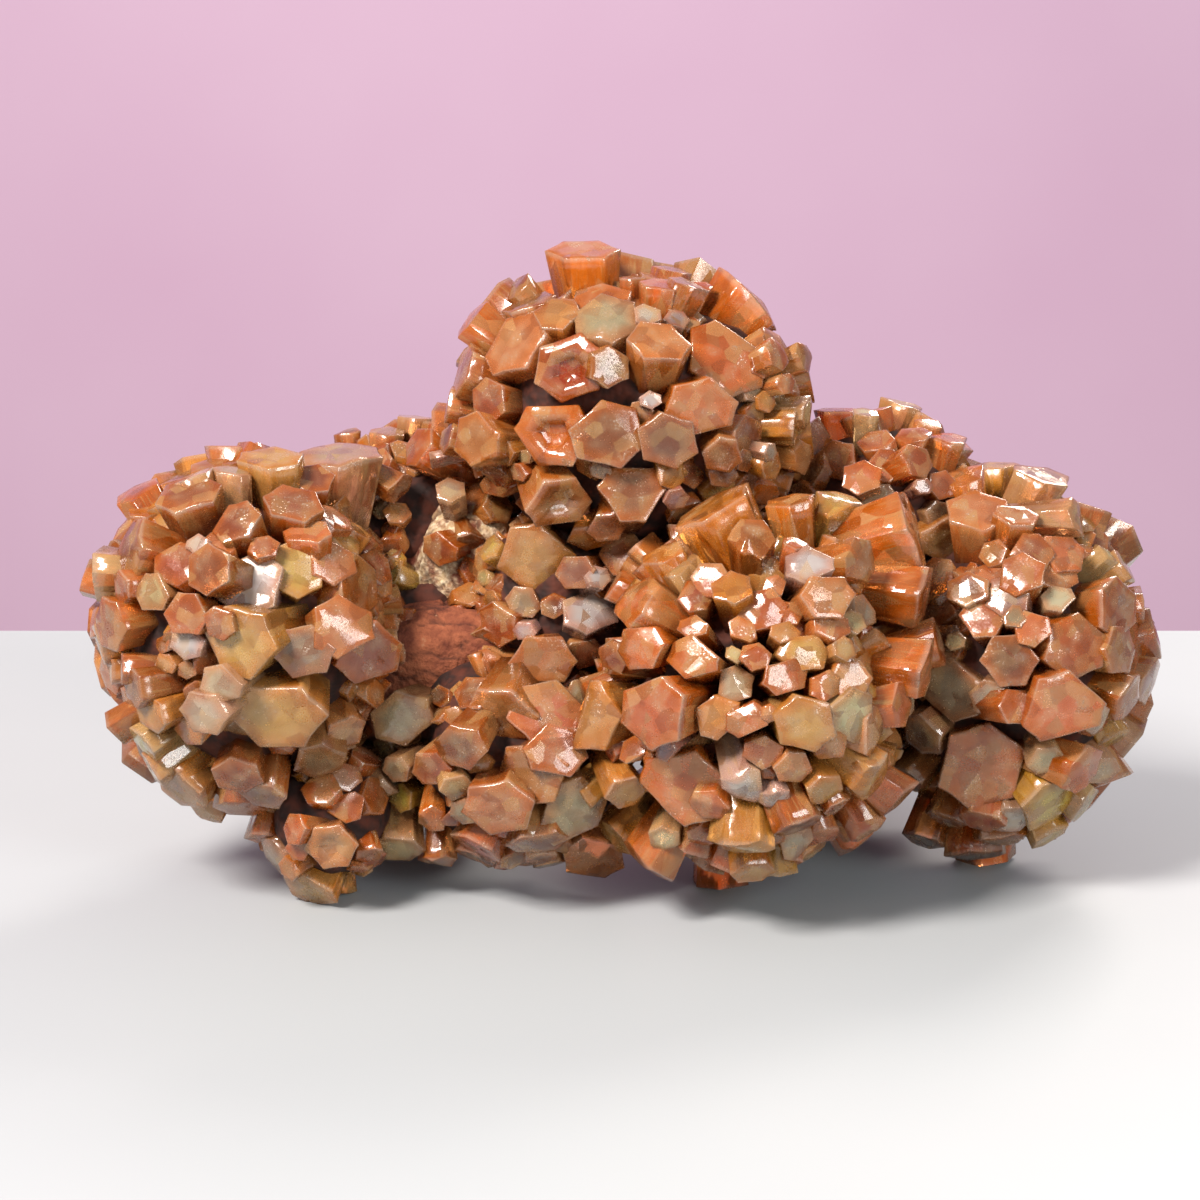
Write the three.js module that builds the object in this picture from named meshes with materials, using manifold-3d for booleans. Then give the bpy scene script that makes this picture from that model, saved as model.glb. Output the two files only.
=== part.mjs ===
// An aragonite cluster: balls of blunt six-sided crystals that radiate from a few centres and
// have grown into one mass, with a lump of cracked clay lodged in the hollow on its left.
// Millimetres, +Z up. +X is to the right and -Y is towards the viewer of the reference view.

import * as THREE from "three";
import { mergeVertices } from "three/addons/utils/BufferGeometryUtils.js";
import Module from "manifold-3d";

// Driving dimensions. The reference view's picture fixes where each crystal end is seen.
const CLUSTER_WIDTH = 130;
const CLUSTER_WIDTH_PIXELS = 1062;
const PICTURE_CENTRE_PIXELS = [600, 600];
const VIEW_DISTANCE = 400;
const VIEW_ELEVATION = 11.5;
const VIEW_TARGET_HEIGHT = 35.5;

const CRYSTAL_SIDES = 6;
const ROOT_SHARE = 0.76; // of a crystal's width: crystals widen towards their ends
const LENGTH_SHARE = 0.5; // of the way from a crystal's end to the middle of its ball
const CORE_SHARE = 0.85; // of a ball's radii: the mass that its crystals stand out from
const CLAY_GAP = 0.3;
const SMALLEST_DETAIL = 0.3; // slivers thinner than this are smoothed away

// Each ball: its middle in the picture, how far that is behind the middle plane, and its radii.
const BALLS = {
  left: { at: [250, 628], behind: -5, radii: [19.8, 20, 22.6] },
  foot: { at: [330, 812], behind: -8, radii: [9.6, 9.6, 9.6] },
  low: { at: [520, 745], behind: -5, radii: [16.6, 16.6, 16] },
  heart: { at: [560, 602], behind: 1, radii: [12.8, 13.6, 13] },
  hollow: { at: [430, 620], behind: 7, radii: [13, 13, 13] },
  saddle: { at: [420, 522], behind: 13, radii: [13.4, 13, 13] },
  top: { at: [630, 420], behind: 3, radii: [22.8, 19.5, 19.5] },
  middle: { at: [660, 575], behind: 5, radii: [15, 15, 15] },
  front: { at: [752, 690], behind: -12, radii: [22.4, 21, 24] },
  shoulder: { at: [880, 510], behind: 11, radii: [14, 14, 13] },
  right: { at: [1008, 660], behind: 5, radii: [17.6, 20, 24.4] },
  backLeft: { at: [395, 695], behind: 20, radii: [18.5, 18.5, 18.5] },
  backRight: { at: [815, 680], behind: 24, radii: [20, 20, 20] },
};

// Crystals read from the picture, by ball. Each row has the middle of the crystal's end face in
// picture pixels (right, down) and its width. Where it doesn't simply radiate from the ball, its
// aim in the picture follows (degrees, 0 right, 90 up), and its lean away from the viewer. A few
// also give the spin of their six sides and the ratio of their narrow width to their wide one.
const SEEN_CRYSTALS = {
  left: [
    [190, 490, 7.4, 105, 48, 30],
    [194, 474, 6.4, 112, 82],
    [233, 470, 4.4, 95, 72],
    [270, 457, 7.0, 95, 62],
    [292, 503, 6.4, 80, 42, 45],
    [340, 452, 9.2, 85, 62],
    [386, 430, 4.4, 85, 75],
    [416, 417, 4.4, 80, 78],
    [236, 520, 5.4, 110, 36],
    [206, 570, 5.8, 160, 28],
    [249, 585, 8.0, 130, 14, 20],
    [299, 567, 6.4, 60, 18, 30],
    [334, 564, 5.6, 10, 34, 90],
    [308, 530, 5.2, 90, 55],
    [128, 545, 7.6, 162, 66],
    [98, 574, 8.0, 178, 84],
    [108, 624, 6.2, 188, 56],
    [184, 616, 5.4, 180, 22],
    [240, 645, 8.4, 205, 32],
    [342, 625, 7.6, 20, 26, 90],
    [372, 655, 7.4, 340, 34],
    [303, 650, 6.8, 0, 10],
    [219, 686, 4.8, 205, 24],
    [203, 716, 5.6, 215, 38],
    [275, 716, 11.6, 255, 32, 0, 0.72],
    [345, 735, 5.2, 300, 45],
    [148, 712, 5.6, 205, 52],
    [121, 668, 4.4, 180, 82],
    [141, 744, 5.0, 214, 68],
    [151, 771, 4.4, 216, 72],
    [178, 790, 7.2, 226, 62],
    [203, 812, 5.2, 238, 68],
    [234, 777, 5.8, 262, 36],
    [262, 796, 5.6, 262, 54],
    [290, 806, 6.0, 275, 56],
    [264, 840, 5.0, 258, 64],
    [318, 762, 6.0, 265, 60],
  ],
  foot: [
    [331, 847, 6.0, 270, 14],
    [308, 892, 7.0, 236, 58],
  ],
  low: [
    [401, 850, 5.8, 272, 52],
    [436, 864, 4.2, 268, 68],
    [500, 812, 8.0, 262, 24, 15],
    [530, 772, 7.8, 200, 26],
    [500, 714, 8.2, 250, 36],
    [460, 748, 6.8, 235, 40],
    [430, 770, 5.4, 225, 46],
    [400, 720, 6.8, 215, 26],
    [548, 712, 8.2, 60, 16],
    [556, 752, 6.4, 0, 16],
    [572, 815, 8.6, 285, 34],
    [595, 860, 7.8, 288, 40],
    [537, 846, 6.2, 270, 62],
    [582, 808, 4.8, 222, 68],
    [616, 838, 6.0, 226, 62],
  ],
  heart: [
    [536, 562, 9.2, 240, 20, 10],
    [590, 612, 6.6, 60, 30],
    [540, 660, 7.4, 270, 12],
    [497, 625, 5.6, 195, 44],
    [500, 506, 4.8, 30, 40],
  ],
  hollow: [
    [447, 640, 5.6, 250, 12],
  ],
  top: [
    [560, 502, 7.6, 300, 34],
    [633, 493, 7.4, 80, 14, 0],
    [583, 250, 8.0, 95, 66],
    [512, 345, 8.2, 150, 44, 10],
    [530, 300, 6.6, 122, 74],
    [462, 368, 7.2, 158, 78],
    [447, 404, 4.4, 170, 82],
    [567, 372, 8.4, 200, 16, 20],
    [610, 366, 4.8, 350, 24],
    [560, 312, 5.4, 105, 40],
    [606, 318, 7.6, 85, 42],
    [658, 340, 7.4, 80, 38, 0],
    [664, 282, 5.2, 84, 70],
    [691, 283, 4.4, 62, 74],
    [752, 292, 9.4, 50, 74],
    [728, 358, 9.2, 20, 32, 20],
    [702, 408, 7.6, 320, 20],
    [806, 355, 4.2, 22, 70],
    [808, 412, 4.0, 0, 70],
    [796, 428, 4.2, 0, 72],
    [722, 455, 4.8, 290, 28],
    [668, 442, 6.6, 300, 15],
    [553, 435, 8.2, 225, 15, 0],
    [608, 433, 7.6, 270, 8],
    [475, 438, 6.4, 175, 48],
    [446, 436, 4.2, 165, 70],
    [488, 400, 5.6, 175, 42],
    [416, 445, 5.4, 150, 55],
  ],
  front: [
    [628, 794, 4.8, 300, 40],
    [715, 522, 10.2, 118, 46, 20],
    [640, 602, 6.6, 150, 46],
    [640, 648, 5.4, 185, 32],
    [692, 658, 5.8],
    [584, 712, 8.4, 181, 52, 0],
    [652, 712, 8.0, 192, 34],
    [716, 716, 5.6],
    [682, 788, 9.4, 245, 24, 15],
    [742, 852, 7.2, 268, 58, 0],
    [746, 788, 5.0, 285, 50],
    [826, 792, 5.0, 300, 44],
    [806, 728, 6.8, 320, 18],
    [853, 716, 6.2, 345, 36],
    [872, 780, 7.0, 325, 54],
    [800, 828, 5.4, 295, 74],
    [838, 808, 4.2, 300, 70],
    [806, 651, 5.4],
    [851, 682, 4.8],
    [830, 596, 5.6, 30, 20],
    [758, 608, 5.8, 100, 18],
    [808, 564, 5.4, 80, 24],
    [792, 512, 5.6, 98, 56],
    [838, 505, 5.6, 62, 62],
    [860, 566, 5.6, 10, 44],
    [924, 598, 8.6, 352, 60, 0],
    [924, 669, 8.4, 348, 60, 0],
    [912, 538, 9.4, 12, 50],
  ],
  shoulder: [
    [903, 402, 5.4, 72, 78],
    [946, 436, 5.6, 78, 72],
    [918, 460, 4.8, 25, 50],
    [838, 409, 5.4, 100, 72],
    [836, 458, 5.6],
    [948, 540, 7.2],
  ],
  right: [
    [978, 510, 7.2, 96, 52],
    [1017, 514, 5.0, 80, 50],
    [998, 464, 5.8, 95, 78],
    [1043, 474, 6.8, 62, 78],
    [1080, 515, 5.2, 2, 78],
    [1035, 550, 5.2, 65, 28],
    [1066, 552, 5.8, 42, 44],
    [1020, 574, 5.0],
    [1060, 576, 4.8, 20, 40],
    [1005, 596, 5.0, 150, 24],
    [966, 590, 4.8],
    [1110, 553, 4.6, 42, 78],
    [1126, 565, 4.4, 36, 80],
    [1119, 609, 7.8, 4, 44],
    [1144, 604, 4.8, 2, 80],
    [1076, 650, 8.4, 345, 32],
    [1124, 650, 7.2, 0, 58],
    [1130, 698, 6.6, 338, 64],
    [1062, 708, 9.4, 315, 20],
    [1012, 660, 6.2],
    [982, 616, 5.2],
    [1020, 706, 4.8, 0, 30],
    [992, 697, 4.8],
    [950, 690, 8.2],
    [921, 737, 6.2],
    [982, 768, 10.2, 270, 18, 20],
    [1047, 762, 4.8],
    [1088, 770, 6.4, 340, 56],
    [1052, 805, 8.2, 308, 48],
    [1086, 808, 5.4, 318, 70],
    [1014, 820, 5.0, 275, 50],
    [1000, 843, 6.0, 272, 66],
    [945, 822, 5.4],
    [982, 822, 5.2],
    [975, 858, 6.4, 268, 74],
    [925, 842, 5.6, 250, 72],
    [1050, 838, 5.0, 295, 68],
  ],
};

// Crystals that carry the cluster, each under the ball it belongs to: where its flat end stands
// on the table, from the middle of the reference view, and its width.
const STANDING_CRYSTALS = [
  { ball: "foot", at: [-32, -6], across: 5 },
  { ball: "front", at: [15, -2], across: 7 },
  { ball: "right", at: [49, 9], across: 8 },
  { ball: "backRight", at: [30, 27], across: 9 },
  { ball: "backLeft", at: [-27, 23], across: 9 },
];

// Crystals on the sides that the picture doesn't show.
const HIDDEN_WIDTH = 16;
const HIDDEN_REACH = 0.95; // of the ball's radii
const HIDDEN_FACING = 0.25; // a hidden crystal turns its end further from the viewer than this
const HIDDEN_CLEARANCE = 0.8; // lowest height of a hidden end above the table

// The clay's two lumps: the cracked clay itself and the sandy ridge above it.
const CLAY_LUMPS = [
  { at: [440, 664], behind: -6, radii: [9.2, 9, 7] },
  { at: [466, 592], behind: -3, radii: [5.6, 8, 7.8] },
];
const CLAY_ROUGHNESS = 0.07; // of a lump's radius

const wasm = await Module();
wasm.setup();

const elevation = THREE.MathUtils.degToRad(VIEW_ELEVATION);
const rightward = new THREE.Vector3(1, 0, 0);
const forward = new THREE.Vector3(0, Math.cos(elevation), -Math.sin(elevation));
const upward = new THREE.Vector3(0, Math.sin(elevation), Math.cos(elevation));
const viewer = new THREE.Vector3(0, 0, VIEW_TARGET_HEIGHT).addScaledVector(forward, -VIEW_DISTANCE);
const focalPixels = (VIEW_DISTANCE * CLUSTER_WIDTH_PIXELS) / CLUSTER_WIDTH;

// The direction from the viewer through a point of the picture.
function sightLine([u, v]) {
  const across = (u - PICTURE_CENTRE_PIXELS[0]) / focalPixels;
  const rise = (PICTURE_CENTRE_PIXELS[1] - v) / focalPixels;
  return forward.clone().addScaledVector(rightward, across).addScaledVector(upward, rise).normalize();
}

// The point that the picture shows at a pixel, a given way behind the middle plane.
function pointBehind(pixel, behind) {
  const line = sightLine(pixel);
  return viewer.clone().addScaledVector(line, (behind - viewer.y) / line.y);
}

// Where a line of sight meets a ball, or passes closest to it when it misses.
function pointOnBall(pixel, ball) {
  const line = sightLine(pixel);
  const step = line.clone().divide(ball.radii);
  const toCentre = ball.centre.clone().sub(viewer).divide(ball.radii);
  const nearest = toCentre.dot(step) / step.lengthSq();
  const missSquared = toCentre.clone().addScaledVector(step, -nearest).lengthSq();
  const depth = Math.sqrt(Math.max(1 - missSquared, 0) / step.lengthSq());
  return viewer.clone().addScaledVector(line, nearest - depth);
}

// A crystal's axis from its aim in the picture and its lean away from the viewer.
function aimedAxis(aim, lean) {
  const turn = THREE.MathUtils.degToRad(aim);
  const tilt = THREE.MathUtils.degToRad(lean);
  return new THREE.Vector3()
    .addScaledVector(forward, -Math.cos(tilt))
    .addScaledVector(rightward, Math.sin(tilt) * Math.cos(turn))
    .addScaledVector(upward, Math.sin(tilt) * Math.sin(turn));
}

function solidOf(geometry) {
  geometry.deleteAttribute("normal");
  geometry.deleteAttribute("uv");
  const merged = mergeVertices(geometry, 1e-5);
  const vertProperties = new Float32Array(merged.getAttribute("position").array);
  const triVerts = new Uint32Array(merged.getIndex().array);
  return new wasm.Manifold(new wasm.Mesh({ numProp: 3, vertProperties, triVerts }));
}

// A tapered six-sided prism whose flat end is at `end`, grown all round by `margin`.
function crystalSolid({ end, axis, across, length, spin, ratio }, margin) {
  const tip = across / 2 + margin;
  const root = (across / 2) * ROOT_SHARE + margin;
  const prism = new THREE.CylinderGeometry(tip, root, length + 2 * margin, CRYSTAL_SIDES);
  prism.translate(0, -length / 2, 0);
  prism.scale(ratio, 1, 1);
  prism.rotateY(THREE.MathUtils.degToRad(90 + spin));
  const wide = upward.clone().cross(axis).normalize();
  const narrow = wide.clone().cross(axis);
  prism.applyMatrix4(new THREE.Matrix4().makeBasis(wide, axis, narrow).setPosition(end));
  return solidOf(prism);
}

// Crystals read from the picture, with a length that ends inside their ball's core.
function seenCrystals() {
  return Object.entries(SEEN_CRYSTALS).flatMap(([name, rows]) => {
    const ball = balls[name];
    return rows.map(([u, v, across, aim, lean, spin = (u * 7 + v * 13) % 60, ratio = 0.9]) => {
      const end = pointOnBall([u, v], ball);
      const outward = end.clone().sub(ball.centre);
      const axis = aim === undefined ? outward.clone().normalize() : aimedAxis(aim, lean);
      return { end, axis, across, length: outward.length() * LENGTH_SHARE, spin, ratio };
    });
  });
}

function standingCrystals() {
  return STANDING_CRYSTALS.map(({ ball, at: [x, y], across }, index) => ({
    end: new THREE.Vector3(x, y, 0),
    axis: new THREE.Vector3(0, 0, -1),
    across,
    length: balls[ball].centre.z * 0.8,
    spin: index * 25,
    ratio: 0.9,
  }));
}

function isInside(point, ball) {
  return point.clone().sub(ball.centre).divide(ball.radii).length() < HIDDEN_REACH;
}

// Evenly spread crystals on the parts of the balls that no other ball covers and nobody sees.
function hiddenCrystals() {
  const goldenTurn = Math.PI * (3 - Math.sqrt(5));
  const crystals = [];
  for (const ball of Object.values(balls)) {
    const reach = ball.radii.clone().multiplyScalar(HIDDEN_REACH);
    const count = Math.round((4 * Math.PI * reach.x * reach.y) / (HIDDEN_WIDTH * HIDDEN_WIDTH));
    for (let index = 0; index < count; index += 1) {
      const height = 1 - (2 * index + 1) / count;
      const level = Math.sqrt(1 - height * height);
      const turn = index * goldenTurn;
      const direction = new THREE.Vector3(level * Math.cos(turn), level * Math.sin(turn), height);
      const outward = direction.multiply(reach);
      const axis = outward.clone().normalize();
      const end = ball.centre.clone().add(outward);
      const covered = Object.values(balls).some((other) => other !== ball && isInside(end, other));
      const seen = -axis.dot(forward) > HIDDEN_FACING;
      if (covered || seen || end.z < HIDDEN_CLEARANCE) {
        continue;
      }
      const across = HIDDEN_WIDTH * (0.85 + 0.15 * Math.sin(index * 2.4));
      const length = outward.length() * LENGTH_SHARE;
      crystals.push({ end, axis, across, length, spin: index * 31, ratio: 0.9 });
    }
  }
  return crystals;
}

function coreSolid(ball, margin) {
  const core = new THREE.IcosahedronGeometry(1, 1);
  const [x, y, z] = ball.radii.toArray().map((radius) => radius * CORE_SHARE + margin);
  return solidOf(core.scale(x, y, z).translate(ball.centre.x, ball.centre.y, ball.centre.z));
}

// A lump of clay: an ellipsoid with a softly uneven surface.
function claySolid({ at, behind, radii }) {
  const lump = new THREE.IcosahedronGeometry(1, 2);
  const position = lump.getAttribute("position");
  const point = new THREE.Vector3();
  for (let index = 0; index < position.count; index += 1) {
    point.fromBufferAttribute(position, index);
    const bumps = Math.sin(5 * point.x + 1) + Math.sin(6 * point.y + 2) + Math.sin(5 * point.z + 3);
    point.multiplyScalar(1 + CLAY_ROUGHNESS * bumps);
    position.setXYZ(index, point.x, point.y, point.z);
  }
  const centre = pointBehind(at, behind);
  return solidOf(lump.scale(...radii).translate(centre.x, centre.y, centre.z));
}

function meshOf(name, solid, material) {
  const { vertProperties, triVerts } = solid.getMesh();
  const geometry = new THREE.BufferGeometry();
  geometry.setAttribute("position", new THREE.BufferAttribute(vertProperties, 3));
  geometry.setIndex(new THREE.BufferAttribute(triVerts, 1));
  geometry.computeVertexNormals();
  const mesh = new THREE.Mesh(geometry, material);
  mesh.name = name;
  return mesh;
}

const balls = {};
for (const [name, { at, behind, radii }] of Object.entries(BALLS)) {
  balls[name] = { centre: pointBehind(at, behind), radii: new THREE.Vector3(...radii) };
}

const crystals = [...seenCrystals(), ...standingCrystals(), ...hiddenCrystals()];

// The whole crystal mass, grown all round by a margin and cut level with the table.
function crystalMass(margin) {
  const cores = Object.values(balls).map((ball) => coreSolid(ball, margin));
  const prisms = crystals.map((crystal) => crystalSolid(crystal, margin));
  return wasm.Manifold.union([...cores, ...prisms]).trimByPlane([0, 0, 1], -margin);
}

const cluster = crystalMass(0).asOriginal().simplify(SMALLEST_DETAIL);
const lumps = wasm.Manifold.union(CLAY_LUMPS.map(claySolid));
const leftover = lumps.subtract(crystalMass(CLAY_GAP + SMALLEST_DETAIL)).asOriginal().simplify(CLAY_GAP);
const clay = leftover.decompose().reduce((best, piece) => (piece.volume() > best.volume() ? piece : best));

const crystalMaterial = new THREE.MeshStandardMaterial({ color: 0xb9724a, roughness: 0.35, metalness: 0 });
const clayMaterial = new THREE.MeshStandardMaterial({ color: 0x8a4a2e, roughness: 0.95, metalness: 0 });

// The origin is under the middle of the cluster, at the height that it stands on.
const { min, max } = cluster.boundingBox();
const aragonite = new THREE.Group();
aragonite.add(meshOf("crystal_cluster", cluster, crystalMaterial));
aragonite.add(meshOf("clay_matrix", clay, clayMaterial));
aragonite.position.set(-(min[0] + max[0]) / 2, -(min[1] + max[1]) / 2, -min[2]);

export default aragonite;
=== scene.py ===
# %% [markdown]
# # An aragonite cluster
# This lesson dresses a mineral specimen: balls of blunt six-sided crystals that grew from a few
# centres into one mass, with a lump of cracked clay lodged between them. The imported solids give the
# size and the place of everything. Here the crystals get their full number, their worn ends, their
# colours and their translucency.

# %% Load the frame
import bpy
import numpy as np
from mathutils import Matrix, Vector


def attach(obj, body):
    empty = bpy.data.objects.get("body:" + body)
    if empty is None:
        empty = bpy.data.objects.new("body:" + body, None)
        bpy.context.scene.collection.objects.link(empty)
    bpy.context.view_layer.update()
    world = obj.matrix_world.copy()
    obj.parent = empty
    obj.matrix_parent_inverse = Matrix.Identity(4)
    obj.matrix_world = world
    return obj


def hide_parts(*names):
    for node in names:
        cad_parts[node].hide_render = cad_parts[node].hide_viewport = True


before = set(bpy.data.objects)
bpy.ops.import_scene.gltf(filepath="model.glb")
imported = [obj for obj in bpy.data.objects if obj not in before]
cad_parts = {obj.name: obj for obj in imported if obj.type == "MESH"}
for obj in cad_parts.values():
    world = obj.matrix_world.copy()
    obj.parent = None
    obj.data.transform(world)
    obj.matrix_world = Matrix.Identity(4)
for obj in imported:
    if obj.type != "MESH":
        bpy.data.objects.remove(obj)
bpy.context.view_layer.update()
MM = 0.001

# %% [markdown]
# ## The camera first
# Every crystal end was read off the reference picture, so the camera comes before the shapes: a
# picture point is a line of sight, and a crystal's end is where that line meets its ball. The cluster
# is 130 mm wide and fills 1062 pixels, seen from 400 mm away and 11.5 degrees above level, which fixes
# the focal length. The same few numbers place the camera that renders the scene.

# %% Camera and lines of sight
PICTURE_PIXELS = 1200
CLUSTER_WIDTH = 130 * MM
CLUSTER_WIDTH_PIXELS = 1062
VIEW_DISTANCE = 400 * MM
VIEW_ELEVATION = np.radians(11.5)
VIEW_TARGET = np.array([-3.42, -5.41, 35.5]) * MM
SENSOR_WIDTH = 36.0

focal_pixels = VIEW_DISTANCE * CLUSTER_WIDTH_PIXELS / CLUSTER_WIDTH
rightward = np.array([1.0, 0.0, 0.0])
forward = np.array([0.0, np.cos(VIEW_ELEVATION), -np.sin(VIEW_ELEVATION)])
upward = np.cross(rightward, forward)
viewer = VIEW_TARGET - VIEW_DISTANCE * forward


def sight_lines(pixels):
    """Directions through picture points: forward, plus right and up by the pixels off the centre."""
    offset = (np.asarray(pixels, float) - PICTURE_PIXELS / 2) / focal_pixels
    lines = forward + offset[..., :1] * rightward - offset[..., 1:] * upward
    return lines / np.linalg.norm(lines, axis=-1, keepdims=True)


def point_behind(pixel, behind):
    """The point on a line of sight that lies `behind` metres past the plane through the target."""
    line = sight_lines(pixel)
    return viewer + line * ((VIEW_TARGET[1] + behind - viewer[1]) / line[1])


def facing(place, direction):
    """A placing for a camera or a lamp, which look along their own -Z, with Y as up."""
    turn = Vector(direction).to_track_quat("-Z", "Y")
    return Matrix.Translation(Vector(place)) @ turn.to_matrix().to_4x4()


camera_data = bpy.data.cameras.new("camera")
camera_data.sensor_width = SENSOR_WIDTH
camera_data.lens = SENSOR_WIDTH * focal_pixels / PICTURE_PIXELS
camera = bpy.data.objects.new("camera", camera_data)
camera.matrix_world = facing(viewer, forward)
bpy.context.scene.collection.objects.link(camera)
bpy.context.scene.camera = camera
print("lens", round(camera_data.lens, 1), "mm at", np.round(viewer, 3))

# %% [markdown]
# ## The balls that the crystals grow from
# A sputnik-like cluster is a set of balls, and each ball's crystals point away from its middle. The
# balls are the same as in the solids: a middle in the picture, how far that is behind the target's
# plane, and three radii in millimetres.

# %% Balls
BALLS = {
    "left": ((250, 628), -5, (19.8, 20, 22.6)),
    "foot": ((330, 812), -8, (9.6, 9.6, 9.6)),
    "low": ((520, 745), -5, (16.6, 16.6, 16)),
    "heart": ((560, 602), 1, (12.8, 13.6, 13)),
    "hollow": ((430, 620), 7, (13, 13, 13)),
    "saddle": ((420, 522), 13, (13.4, 13, 13)),
    "top": ((630, 420), 3, (22.8, 19.5, 19.5)),
    "middle": ((660, 575), 5, (15, 15, 15)),
    "front": ((752, 690), -12, (22.4, 21, 24)),
    "shoulder": ((880, 510), 11, (14, 14, 13)),
    "right": ((1008, 660), 5, (17.6, 20, 24.4)),
    "back_left": ((395, 695), 20, (18.5, 18.5, 18.5)),
    "back_right": ((815, 680), 24, (20, 20, 20)),
}
ball_names = list(BALLS)


def placed_balls(rows):
    """Middles and radii, in metres, of balls given as in the list above."""
    centres = np.array([point_behind(at, behind * MM) for at, behind, _ in rows.values()])
    radii = np.array([radii for _, _, radii in rows.values()], float) * MM
    return centres, radii


ball_centres, ball_radii = placed_balls(BALLS)
print(len(BALLS), "balls, the highest middle at", round(ball_centres[:, 2].max() / MM, 1), "mm")

# %% [markdown]
# ## Colours of the crystals
# Iron stains aragonite from honey to deep rust, and thin or clean crystals stay pale or clear. A short
# palette of named tints is easier to read and to mend than hundreds of colours, so each crystal names
# one of these, and its own small shift of tone comes later from a seeded draw.

# %% Tints
TINTS = {
    # The white tint is partly painted highlight: besides pale crystals it marks those whose faces flash
    # white in the light.
    "smoke": "9c5028", "mauve": "d06430", "pink": "fa9456", "peach": "ffa64c", "orange": "f06a10",
    "amber": "ea7608", "honey": "fcaa40", "rust": "b03a0a", "brown": "7a320c", "olive": "ac7c30",
    "tan": "e28c40", "grey": "cec0a0", "pale": "fadca0", "white": "fbf0e4", "clear": "f2d698",
    "lilac": "c8acb0",
}


def linear_colour(code):
    """Scene-linear red, green and blue of a six-digit colour code, by the screen's transfer curve."""
    screen = np.array([int(code[index:index + 2], 16) for index in (0, 2, 4)]) / 255
    return np.where(screen > 0.04045, ((screen + 0.055) / 1.055) ** 2.4, screen / 12.92)


tint_colours = {name: linear_colour(code) for name, code in TINTS.items()}
print(len(tint_colours), "tints")
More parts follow.
